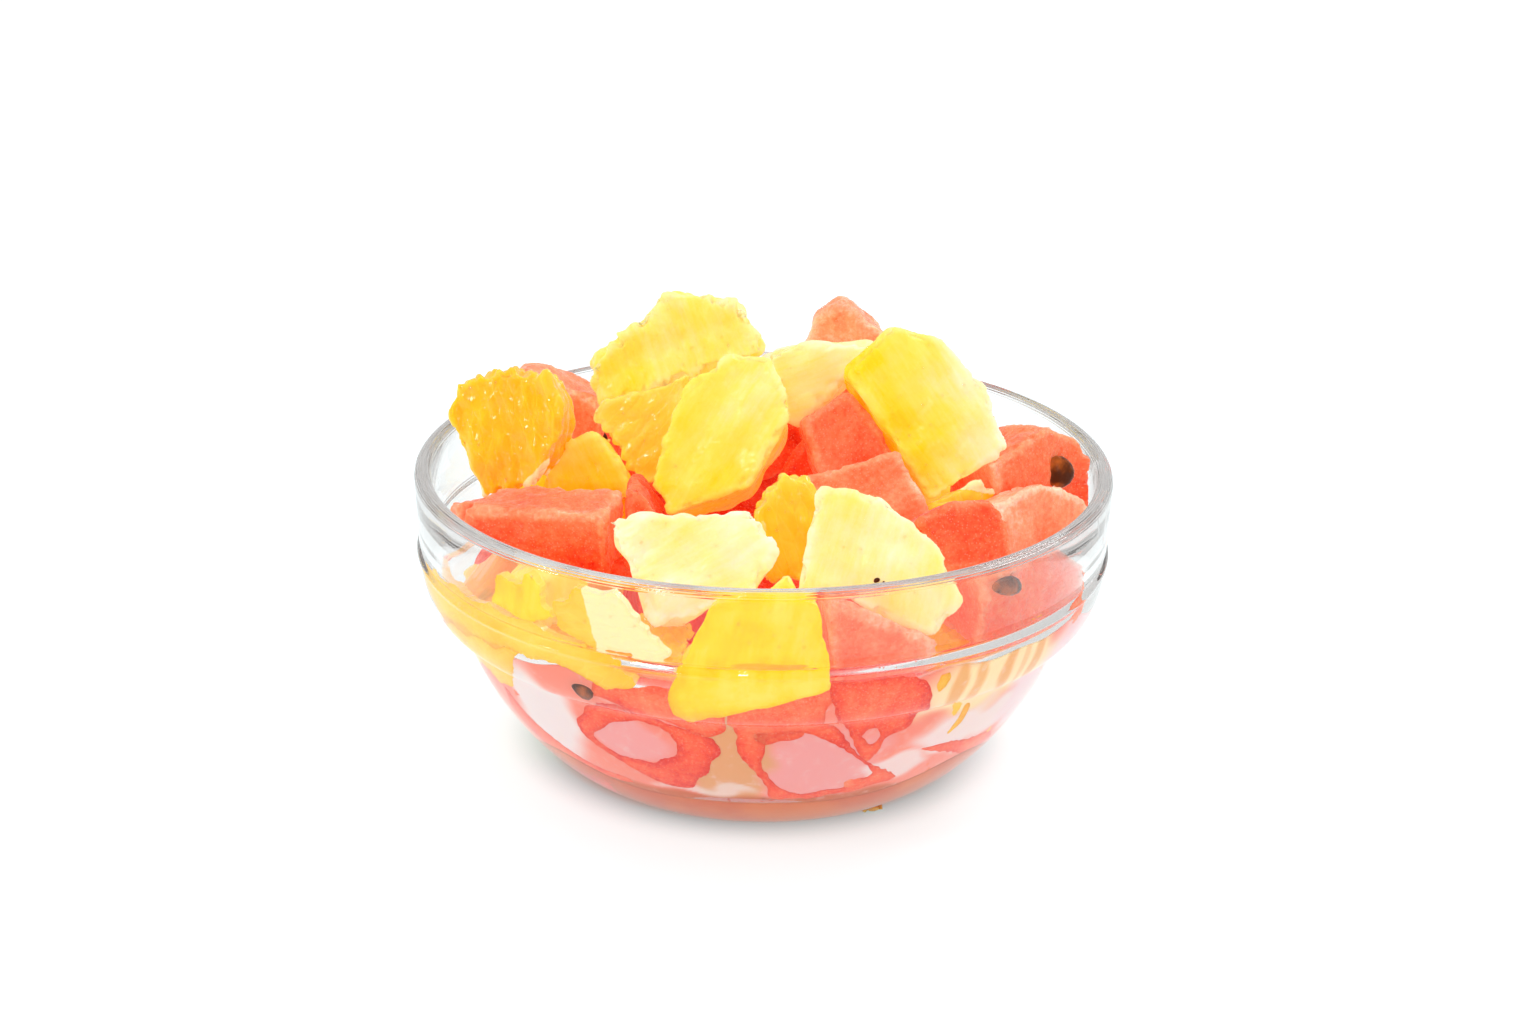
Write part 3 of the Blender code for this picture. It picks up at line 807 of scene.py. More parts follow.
def put_tree_on(piece: bpy.types.Object, tree: bpy.types.NodeTree, values: dict[str, object]) -> None:
    """Adds Geometry Nodes to a piece.

    Args:
        piece: The mesh that they work on.
        tree: The nodes.
        values: The tree's inputs by name.
    """
    modifier = piece.modifiers.new(tree.name, "NODES")
    modifier.node_group = tree
    for item in tree.interface.items_tree:
        if item.item_type == "SOCKET" and item.in_out == "INPUT" and item.name in values:
            modifier[item.identifier] = values[item.name]


def add_piece(name: str, data: object) -> bpy.types.Object:
    """A new object at the origin, linked to the scene.

    Args:
        name: The new object's name.
        data: Its mesh, or a lamp's or camera's data.

    Returns:
        The object.
    """
    made = bpy.data.objects.new(name, data)
    bpy.context.scene.collection.objects.link(made)
    return made


def finished_mesh(piece: bpy.types.Object) -> None:
    """Swaps a piece's mesh for what its modifiers make of it, and removes them.

    Args:
        piece: The object; its mesh is replaced and its modifiers go.
    """
    bpy.context.view_layer.update()
    seen = piece.evaluated_get(bpy.context.evaluated_depsgraph_get())
    mesh = bpy.data.meshes.new_from_object(seen)
    piece.modifiers.clear()
    piece.data = mesh
    mesh.name = piece.name


def rows_of(mesh: bpy.types.Mesh, what: str = "co") -> np.ndarray:
    """A mesh's corners in metres, or their normals, as an array of three columns.

    Args:
        mesh: The mesh.
        what: "co" or "normal".

    Returns:
        One row for each corner.
    """
    flat = np.empty(len(mesh.vertices) * 3, np.float32)
    mesh.vertices.foreach_get(what, flat)
    return flat.reshape(-1, 3).astype(float)


def move_points(mesh: bpy.types.Mesh, points: np.ndarray) -> None:
    """Moves a mesh's corners to new places, in metres."""
    mesh.vertices.foreach_set("co", points.astype(np.float32).ravel())
    mesh.update()


def note(mesh: bpy.types.Mesh, name: str, values: np.ndarray) -> None:
    """Stores a number, or a row of three, for each corner of a mesh."""
    kind, key = ("FLOAT", "value") if values.ndim == 1 else ("FLOAT_VECTOR", "vector")
    mesh.attributes.new(name, kind, "POINT").data.foreach_set(key, values.astype(np.float32).ravel())


def mesh_of(solid: bmesh.types.BMesh, name: str) -> bpy.types.Mesh:
    """A new mesh from an edited one, which is freed.

    Args:
        solid: The edited mesh.
        name: The new mesh's name.

    Returns:
        The mesh.
    """
    mesh = bpy.data.meshes.new(name)
    solid.to_mesh(mesh)
    solid.free()
    return mesh


def ring_solid(name: str, rings: list[list[tuple]], closed: bool = False) -> bpy.types.Mesh:
    """A smooth solid through rings of points round the bowl's axis. A ring of one point is a pole.

    Args:
        name: The mesh's name.
        rings: The rings' points in millimetres, in order.
        closed: Whether the last ring joins the first.

    Returns:
        The mesh, its faces pointing out.
    """
    solid = bmesh.new()
    made = [[solid.verts.new([value * MM for value in point]) for point in ring] for ring in rings]
    for ring, after in zip(made, made[1:] + made[:1] if closed else made[1:]):
        for k in range(max(len(ring), len(after))):
            corners = [ring[k % len(ring)], ring[(k + 1) % len(ring)]]
            corners += [after[(k + 1) % len(after)], after[k % len(after)]]
            once = list(dict.fromkeys(corners))
            if len(once) > 2:
                solid.faces.new(once)
    bmesh.ops.recalc_face_normals(solid, faces=solid.faces)
    mesh = mesh_of(solid, name)
    mesh.shade_smooth()
    return mesh


@dataclass(frozen=True)
class GlassBowl:
    """A stacking bowl: a straight band over a rounded shoulder, and a lower wall that curves to the foot."""

    rim_radius: float = 85.0
    height: float = 78.0
    rim_thickness: float = 4.1
    band_foot_z: float = 57.0
    band_foot_radius: float = 84.3
    # How much the middle of the band swells, and from where it narrows to its foot
    band_swell: float = 0.3
    band_taper: float = 0.02
    band_taper_z: float = 62.0
    shoulder: tuple = (7.9, 14.6)
    foot_radius: float = 39.6
    wall_top_z: float = 52.0
    wall_top_radius: float = 77.4
    wall_fullness: float = 1.6
    wall_thickness: float = 4.2
    floor_thickness: float = 5.0
    foot_rounding: float = 1.6
    # The stacking ring under the band, the groove over it, and the faint tool lines left on the rim
    ring_z: float = 57.4
    ring_height: float = 0.6
    ring_width: float = 0.75
    groove_z: float = 59.1
    tool_lines: int = 5
    tool_line_height: float = 0.09
    steps: int = 240

    def wall_point(self, share: float) -> tuple[float, float]:
        """Outer lower wall from under the shoulder, at share 0, to the foot, at 1.

        Args:
            share: How far down the curve, from 0 to 1.

        Returns:
            Radius and height in millimetres.
        """
        turn = share * math.pi / 2
        power = 2 / self.wall_fullness
        across = math.cos(turn) ** power if share < 1 else 0.0
        radius = self.foot_radius + (self.wall_top_radius - self.foot_radius) * across
        return radius, self.wall_top_z * (1 - math.sin(turn) ** power)

    def wall_curve(self, offset: float, low: float, high: float, steps: int = 30) -> Profile:
        """The lower wall moved inwards.

        Args:
            offset: How far in.
            low: Lowest height kept.
            high: Highest height kept.
            steps: How many points.

        Returns:
            The points, top to bottom.
        """
        fine = 600
        found = []
        for i in range(1, fine):
            before, here, after = (Vector(self.wall_point((i + n) / fine)) for n in (-1, 0, 1))
            along = (after - before).normalized()
            point = here + Vector((along.y, -along.x)) * offset
            if low <= point.y <= high:
                found.append(point)
        picks = np.linspace(0, len(found) - 1, steps).round().astype(int)
        return [tuple(found[i]) for i in picks]

    @staticmethod
    def arc(middle: tuple, radii: tuple, start: float, end: float, steps: int) -> Profile:
        """Points of an elliptical arc, its angles in degrees."""
        turns = np.radians(np.linspace(start, end, steps + 1))
        return [(middle[0] + radii[0] * math.cos(t), middle[1] + radii[1] * math.sin(t)) for t in turns]

    def rim_arc(self, side: float, start: float, end: float) -> Profile:
        """Half of the rounded rim, with its tool lines.

        Args:
            side: 1 for the outer half, -1 for the inner.
            start: First angle in degrees.
            end: Last angle.

        Returns:
            Its points.
        """
        bead = self.rim_thickness / 2
        points = []
        for turn in np.radians(np.linspace(start, end, 34)):
            reach = bead - self.tool_line_height * (0.5 - 0.5 * math.cos(4 * self.tool_lines * turn))
            across, up = side * reach * math.cos(turn), reach * math.sin(turn)
            points.append((self.rim_radius - bead + across, self.height - bead + up))
        return points

    def ring(self, height: float) -> float:
        """How far the stacking ring, and the groove over it, stand out at a height.

        Args:
            height: Where on the wall, in millimetres.

        Returns:
            How far the wall stands out there, in millimetres.
        """
        bead = math.exp(-(((height - self.ring_z) / self.ring_width) ** 2))
        groove = math.exp(-(((height - self.groove_z) / (0.8 * self.ring_width)) ** 2))
        return self.ring_height * (bead - 0.9 * groove)

    def outside(self) -> Profile:
        """The outer face, from the top of the rim down to the middle of the foot.

        Returns:
            Radii and heights in millimetres.
        """
        foot = self.band_foot_radius
        shoulder = (foot - self.shoulder[0], self.band_foot_z)
        points = self.rim_arc(1, 90, 0)
        points += [(foot + self.band_swell, (self.height + self.band_foot_z) / 2)]
        heights = np.linspace(self.band_taper_z, self.band_foot_z + 0.2, 24)
        points += [(foot + self.band_taper * (z - self.band_foot_z), z) for z in heights]
        points += self.arc(shoulder, self.shoulder, 0, -30, 30)
        points = [(radius + self.ring(z), z) for radius, z in points]
        points += self.arc(shoulder, self.shoulder, -33, -84, 14)
        points += self.wall_curve(0.0, self.foot_rounding, self.band_foot_z - self.shoulder[1] - 1.2)
        middle = (self.foot_radius - 1.0, self.foot_rounding)
        return points + self.arc(middle, (self.foot_rounding, self.foot_rounding), -30, -90, 5) + [(0.0, 0.0)]

    def inside(self) -> Profile:
        """The inner face, from the middle of the floor up to the top of the rim.

        Returns:
            Radii and heights in millimetres.
        """
        band = self.rim_radius - self.rim_thickness
        wall = self.wall_curve(self.wall_thickness, self.floor_thickness + 1.0, 38.0)[::-1]
        start, floor = wall[0][0], self.floor_thickness
        points = [(0.0, floor), (start - 4.0, floor), (start - 1.6, floor + 0.28), *wall]
        low, high = Vector(wall[-1]), Vector((band - 0.4, self.band_foot_z + 1.0))
        span = (high - low).length
        leave = (low - Vector(wall[-2])).normalized() * span
        arrive = Vector((0.0, 1.0)) * span
        points += [tuple(curve_between(low, leave, high, arrive, t)) for t in np.linspace(0, 1, 17)[1:]]
        return points + self.rim_arc(-1, 0, 87)

    def build(self, finish: ClearGlass) -> bpy.types.Object:
        """Makes the bowl in place of its CAD node, turned from its outline.

        Args:
            finish: How the glass is made.

        Returns:
            The finished piece.
        """
        around = np.linspace(0, 2 * math.pi, self.steps, endpoint=False)
        rings = []
        for radius, height in self.outside() + self.inside():
            turns = around if radius > 0 else around[:1]
            rings.append([(radius * math.cos(t), radius * math.sin(t), height) for t in turns])
        bowl = add_piece("glass_bowl", ring_solid("glass_bowl", rings, closed=True))
        bowl.data.materials.append(finish.build())
        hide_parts("bowl")
        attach(bowl, BODY)
        return bowl


class InnerWall:
    """The inside of the glass, as the fruit and the juice meet it."""

    def __init__(self, bowl: GlassBowl) -> None:
        """Reads the bowl's inner outline."""
        self.profile = np.array(bowl.inside()[1:])

    def radius(self, heights: np.ndarray | float) -> np.ndarray | float:
        """Inside radius at some heights, in millimetres."""
        return np.interp(heights, self.profile[:, 1], self.profile[:, 0])

    def spot(self, turn: float, height: float, offset: float, share: float = 1.0) -> tuple:
        """The place at an angle and height that lies out past the glass, or a share of the way to there."""
        radius = (self.radius(height) + offset) * share
        return radius * math.cos(turn), radius * math.sin(turn), height

    def nearest(self, points: np.ndarray) -> tuple[np.ndarray, np.ndarray]:
        """How far inside the glass each point lies, and the way to it.

        Args:
            points: Places in millimetres.

        Returns:
            Distances, and steps in 3-D that take each point onto the wall.
        """
        reach = np.hypot(points[:, 0], points[:, 1])
        flat = np.column_stack([reach, points[:, 2]])
        best, step = np.full(len(flat), np.inf), np.zeros_like(flat)
        for start, end in zip(self.profile, self.profile[1:]):
            way = end - start
            share = np.clip(((flat - start) @ way) / (way**2).sum(), 0, 1)
            gap = start + share[:, None] * way - flat
            size = np.linalg.norm(gap, axis=1)
            closer = size < best
            best[closer], step[closer] = size[closer], gap[closer]
        outwards = points[:, :2] / np.maximum(reach, 1e-6)[:, None]
        distance = np.where(reach > self.radius(points[:, 2]), -best, best)
        return distance, np.column_stack([outwards * step[:, :1], step[:, 1]])


@dataclass(frozen=True)
class Cut:
    """How one chunk was cut and how its colour runs across it.

    Angles are in degrees. Pitch and yaw turn its front face, as its CAD solid is laid. Grain is the way
    its fibres run in that face, clockwise from straight up. Tone is the colour from pale, 0, to deep, 1,
    at the two ends of the direction toward. Skin is the side that faced the rind. Rinds are strips of
    membrane or pith: the side they lie on, and how far from the middle they start, in millimetres.
    Rough is how uneven the cut is, lean how hard the chunk is pressed on the glass, and slim how wide
    it is across its grain next to its solid.
    """

    pitch: float
    yaw: float
    grain: float = 0.0
    tone: tuple = (0.5, 0.5)
    toward: float = 0.0
    skin: float | None = None
    rinds: tuple = ()
    rough: float = 1.0
    lean: float = 1.0
    slim: float = 1.0


# The chunks that the front shows, laid as in the CAD model
CUTS = {
    # Paler toward its right, the side the light falls on: painted light
    "pineapple_top_right": Cut(-25, 12, -32, (0.88, 0.28), 75, 70, (), 0.9),
    "pineapple_top_long": Cut(-35, -5, 28, (0.7, 0.5), 60, None, slim=0.87),
    "pineapple_back_fan": Cut(-15, 0, -20, (0.6, 0.4), 40, -45, (), 2.3),
    "orange_left_chunk": Cut(-15, -15, -12, (0.66, 0.8), 170, None, ((128, 12.5), (232, 12.5)), 1.3),
    "pineapple_pale_left": Cut(-38, 0, 60, (0.26, 0.2), 60, None, (), 1.3),
    "pineapple_pale_right": Cut(-35, 6, 20, (0.28, 0.34), 180, None, (), 1.0),
    "watermelon_left_bar": Cut(4, -18, 90, (1.0, 0.44), 0),
    "pineapple_front_wedge": Cut(-8, 0, 12, (0.9, 0.56), 60, None, (), lean=0.0),
    "pineapple_back_middle": Cut(-12, 0, 70, (0.3, 0.42), 180, None),
    "orange_middle_slice": Cut(-20, 0, 40, (0.3, 0.4), 150, None, ((-25, 11.5),)),
    "watermelon_back_peak": Cut(-5, 0, 30, (0.42, 0.3), 0),
    "watermelon_middle_front": Cut(-38, 4, 50, (0.55, 0.46), 90),
    "watermelon_middle_high": Cut(-25, 8, 20, (0.72, 0.5), 180),
    "orange_front_middle": Cut(-20, 0, 160, (0.5, 0.6), 180),
    "watermelon_right_red": Cut(-25, 16, 45, (0.7, 0.66), 90),
    "watermelon_right_seeded": Cut(-10, 40, 0, (0.8, 0.42), 0),
    "watermelon_right_front": Cut(-15, 40, 10, (0.38, 0.36), 0),
    "orange_right_sliver": Cut(-30, 10, 75, (0.6, 0.62), 0, None, ((5, 4.5),)),
    "watermelon_middle_dark": Cut(-20, 0, 30, (0.85, 0.8), 90),
    "watermelon_left_inner": Cut(0, 0, 0, (0.75, 0.8), 90),
    "pineapple_small_left": Cut(-20, 0, -25, (0.78, 0.7), 90, None),
    "watermelon_left_corner": Cut(0, -60, 0, (0.6, 0.6), 90),
    "watermelon_back_left": Cut(-5, 0, 0, (0.5, 0.36), 0),
    "orange_front_left": Cut(4, -24, 20, (0.6, 0.66), 90, None, ((5, 8.0),), lean=0.0),
    "pineapple_left_bit": Cut(0, -45, 10, (0.74, 0.7), 90, None, lean=0.0),
    "orange_far_left": Cut(10, -50, 60, (0.4, 0.44), 90, lean=0.0),
    "orange_wall_left": Cut(18, -26, 80, (0.4, 0.46), 90, None, ((75, 7.5),), lean=0.0),
    "watermelon_wall_front": Cut(4, 14, 0, (0.5, 0.36), 180, lean=0.35),
    "watermelon_front_right": Cut(22, 22, 0, (0.66, 0.72), 90, lean=0.0),
    "watermelon_wall_right": Cut(6, 46, 90, (0.6, 0.6), 0, lean=0.55),
    "orange_wall_right": Cut(25, 46, 10, (0.66, 0.66), 0, None, (), lean=0.0),
    "watermelon_foot_left": Cut(34, -20, 30, (0.66, 0.72), 90, lean=0.0),
    "watermelon_foot_middle": Cut(34, 6, 0, (0.62, 0.66), 90, lean=0.0),
    "watermelon_wall_left": Cut(28, -42, 0, (0.6, 0.56), 90, lean=0.0),
    "watermelon_foot_right": Cut(38, 34, 0, (0.66, 0.62), 90, lean=0.0),
}


@dataclass(frozen=True)
class Pressed:
    """A face of a chunk that lies flat on the glass.

    Its outline, and the pockets of air inside it, are (angle round the bowl, height) in degrees and
    millimetres. Round is how far the corners are rounded, from 0 to 1. Over is how much further into
    the glass it reaches than other faces, in millimetres, so that it lies in front of them, and ragged
    how uneven its outline is.
    """

    outline: tuple
    pockets: tuple = ()
    depth: float = 1.6
    round: float = 1.0
    over: float = 0.0
    ragged: float = 1.0


# The faces that the front shows through the lower wall
PRESSED = {
    "watermelon_wall_left": (
        Pressed((
            (-119, 47), (-117, 51.5), (-111, 51), (-104, 52),
            (-96, 47), (-98, 37), (-107, 40.5), (-115, 45.8),
        )),
    ),
    "watermelon_foot_left": (
        Pressed(
            (
                (-127, 31), (-123, 40), (-116, 46), (-107, 39.5), (-98, 36),
                (-99, 29), (-105, 19.5), (-111, 20), (-119, 24),
            ),
            (((-123.5, 31), (-119, 36), (-114, 38.5), (-108, 38), (-105.5, 33), (-109, 28), (-117, 26.5)),),
        ),
        Pressed((
            (-148, 34), (-144, 29), (-139, 25), (-128, 20),
            (-119, 18), (-128, 16.5), (-142, 17), (-150, 25),
        )),
    ),
    "watermelon_foot_middle": (
        Pressed(
            (
                (-95, 48), (-88, 52), (-78, 54), (-79, 45), (-74, 36), (-68, 28), (-61, 22.5),
                (-60, 20), (-72, 17.5), (-86, 17), (-88.5, 22), (-93, 30), (-94.5, 38),
            ),
            ((
                (-89, 27), (-88.5, 36), (-83, 38.5), (-76, 35),
                (-68, 26.5), (-67, 22.5), (-74, 19.5), (-84, 19.5),
            ),),
        ),
        Pressed(((-91, 38), (-86, 39.5), (-82, 38.6), (-84, 36.6), (-89, 35.6)), depth=1.2),
    ),
    "watermelon_front_right": (
        Pressed(
            (
                (-79, 54), (-70, 54.2), (-64, 53.4), (-60.5, 48),
                (-61, 38), (-66, 34), (-68, 28), (-73, 36), (-77, 46),
            ),
            (((-71, 36), (-68.5, 38), (-67, 36), (-69, 33.5)),),
            over=0.04,
        ),
    ),
    "orange_wall_right": (
        Pressed(((-60.3, 52.6), (-58.6, 52.8), (-58.2, 50), (-59, 48), (-60, 49.5)), round=0.7),
        Pressed(((-48.4, 39), (-47.4, 37), (-49.3, 32), (-50.8, 31), (-50, 35.5)), depth=1.2),
    ),
    "watermelon_foot_right": (
        Pressed(((-56, 28.5), (-48, 27.5), (-36, 25), (-30, 21), (-38, 20), (-48, 24))),
        Pressed(((-20, 30), (-8, 33), (2, 26), (-4, 17), (-16, 19))),
    ),
    "orange_far_left": (
        Pressed(
            (
                (-166, 57), (-156, 60), (-143, 60.5), (-133, 61), (-125, 60.4),
                (-118, 58.8), (-113, 56), (-110.5, 52), (-113, 49.5), (-120, 51),
                (-128, 52.5), (-139, 51), (-148, 50), (-158, 49), (-166, 52),
            ),
            over=0.04,
            ragged=2.0,
        ),
        Pressed(((-157, 50), (-139, 51.5), (-133, 52), (-139, 44), (-145, 36), (-151, 35), (-158, 40))),
    ),
    "orange_wall_left": (
        Pressed(
            (
                (-124, 62), (-123, 69), (-119, 72.5), (-114, 73), (-111, 69),
                (-107, 64), (-104, 60), (-112, 59), (-119, 60.5),
            ),
            ragged=2.0,
        ),
    ),
    "pineapple_left_bit": (
        Pressed(
            (
                (-137, 62), (-138, 65.5), (-135, 70), (-131.5, 69.5),
                (-129, 72.5), (-126.5, 71), (-127, 67), (-125, 64), (-129, 61),
            ),
            round=0.7,
            ragged=2.0,
        ),
    ),
    "pineapple_front_wedge": (
        Pressed(
            (
                (-105, 48.5), (-104.5, 45.5), (-102, 44.4), (-99, 45.2), (-88, 49),
                (-80, 52.4), (-79, 54), (-79.4, 60), (-80.5, 67), (-82, 74),
                (-90, 75), (-96.5, 74), (-99, 69), (-101.5, 61), (-104, 53),
            ),
            (((-98, 57.2), (-90, 57.8), (-81.5, 57.6), (-81.5, 59.4), (-90, 59.8), (-98, 58.8)),),
            over=0.08,
            ragged=0.5,
            round=0.8,
        ),
    ),
}

# Pockets of air behind the glass elsewhere: angle round the bowl, height, half width and height
AIR_POCKETS = (
    (-108.0, 57.5, 5.5, 3.0),
    (-68.0, 58.2, 14.0, 2.7),
    (-44.0, 58.4, 14.0, 2.7),
    (20.0, 28.0, 14.0, 7.0),
    (75.0, 32.0, 12.0, 8.0),
    (128.0, 26.0, 13.0, 7.0),
    (172.0, 30.0, 11.0, 6.0),
)


class PressedFace:
    """The mesh of one pressed face: a thin slab that follows the glass."""

    # The radius that unrolls angles to millimetres, and how far apart points and inner points lie
    wide: float = 65.0
    step: float = 0.6
    spread: float = 1.1
    sink: float = 0.12
    # How near an edge the surface starts to thin, and how near one its inner points may lie
    thin_edge: float = 3.2
    clear_of_edge: float = 0.5

    def __init__(self, plan: Pressed, wall: InnerWall) -> None:
        """Keeps its plan and the wall that it lies on."""
        self.plan = plan
        self.wall = wall

    def loop(self, corners: tuple) -> np.ndarray:
        """A closed outline through some corners, slightly uneven.

        Args:
            corners: Angles in degrees and heights in millimetres.

        Returns:
            Points along it, unrolled flat, in millimetres.
        """
        flat = np.array([(math.radians(turn) * self.wide, height) for turn, height in corners])
        parts = []
        for k in range(len(flat)):
            before, start, end, after = (flat[(k + n) % len(flat)] for n in (-1, 0, 1, 2))
            count = max(2, int(np.linalg.norm(end - start) / self.step))
            t = np.linspace(0, 1, count, endpoint=False)[:, None]
            leave, arrive = (end - before) * 0.5 * self.plan.round, (after - start) * 0.5 * self.plan.round
            parts.append(curve_between(start, leave, end, arrive, t))
        points = np.concatenate(parts)
        across, up = points.T
        sway = 0.3 * np.sin(across * 0.53 + up * 0.71)
        sway += 0.16 * np.sin(across * 1.9 - up * 1.3) * np.sin(up * 0.31)
        sway += 0.1 * np.sin(across * 3.7 + up * 2.9) * np.sin(across * 0.4)
        return points + self.plan.ragged * np.column_stack([sway, np.roll(sway, 5)])

    @staticmethod
    def within(points: np.ndarray, loops: list[np.ndarray]) -> np.ndarray:
        """Which points lie inside the first of some closed loops and outside the others.

        Args:
            points: The points.
            loops: The outlines' corners in order.

        Returns:
            True for each such point.
        """
        result = np.zeros(len(points), bool)
        for loop in loops:
            for start, end in zip(loop, np.roll(loop, -1, 0)):
                spans = (start[1] > points[:, 1]) != (end[1] > points[:, 1])
                rise = end[1] - start[1] if end[1] != start[1] else 1e-9
                meets = (end[0] - start[0]) * (points[:, 1] - start[1]) / rise + start[0]
                result ^= spans & (points[:, 0] < meets)
        return result

    def flat(self) -> tuple[np.ndarray, list[tuple], np.ndarray]:
        """The face unrolled flat.

        Returns:
            Its points, its triangles, and how near each point is to an edge, from 0 to 1.
        """
        loops = [self.loop(corners) for corners in (self.plan.outline, *self.plan.pockets)]
        edges, count = [], 0
        for loop in loops:
            edges += [(count + k, count + (k + 1) % len(loop)) for k in range(len(loop))]
            count += len(loop)
        rims = np.concatenate(loops)
        grid = [np.arange(*ends, self.spread) for ends in zip(loops[0].min(0), loops[0].max(0))]
        inner = np.column_stack([values.ravel() for values in np.meshgrid(*grid)])
        inner = inner[self.within(inner, loops)]
        distance = np.linalg.norm(inner[:, None] - rims[None], axis=2).min(1)
        points = np.concatenate([rims, inner[distance > self.clear_of_edge]])
        cut = geometry.delaunay_2d_cdt([Vector(p) for p in points], edges, [], 0, 1e-5)
        spots, faces = np.array([tuple(v) for v in cut[0]]), np.array(cut[2])
        keep = self.within(spots[faces].mean(1), loops)
        near = np.linalg.norm(spots[:, None] - rims[None], axis=2).min(1)
        return spots, faces[keep].tolist(), smooth_step(self.thin_edge, 0.0, near)

    def add_to(self, solid: bmesh.types.BMesh) -> None:
        """Adds the slab to a chunk's mesh, with its edge layer.

        Args:
            solid: The mesh; it has layers named edge and pressed.
        """
        spots, faces, near = self.flat()
        edge, mark = (solid.verts.layers.float[name] for name in ("edge", "pressed"))
        layers = []
        for offset in (self.sink + self.plan.over, -self.plan.depth):
            made = []
            for (across, height), close in zip(spots, near):
                place = self.wall.spot(across / self.wide, height, offset)
                vert = solid.verts.new([value * MM for value in place])
                # Negative near the outline, where the colour deepens: painted shade
                vert[edge], vert[mark] = -close, 1.0
                made.append(vert)
            layers.append(made)
        front, back = layers
        sides = {}
        for face in faces:
            solid.faces.new([front[k] for k in face]).smooth = True
            solid.faces.new([back[k] for k in reversed(face)]).smooth = True
            for a, b in zip(face, face[1:] + face[:1]):
                if (b, a) in sides:
                    del sides[b, a]
                else:
                    sides[a, b] = True
        for a, b in sides:
            solid.faces.new((front[b], front[a], back[a], back[b]))


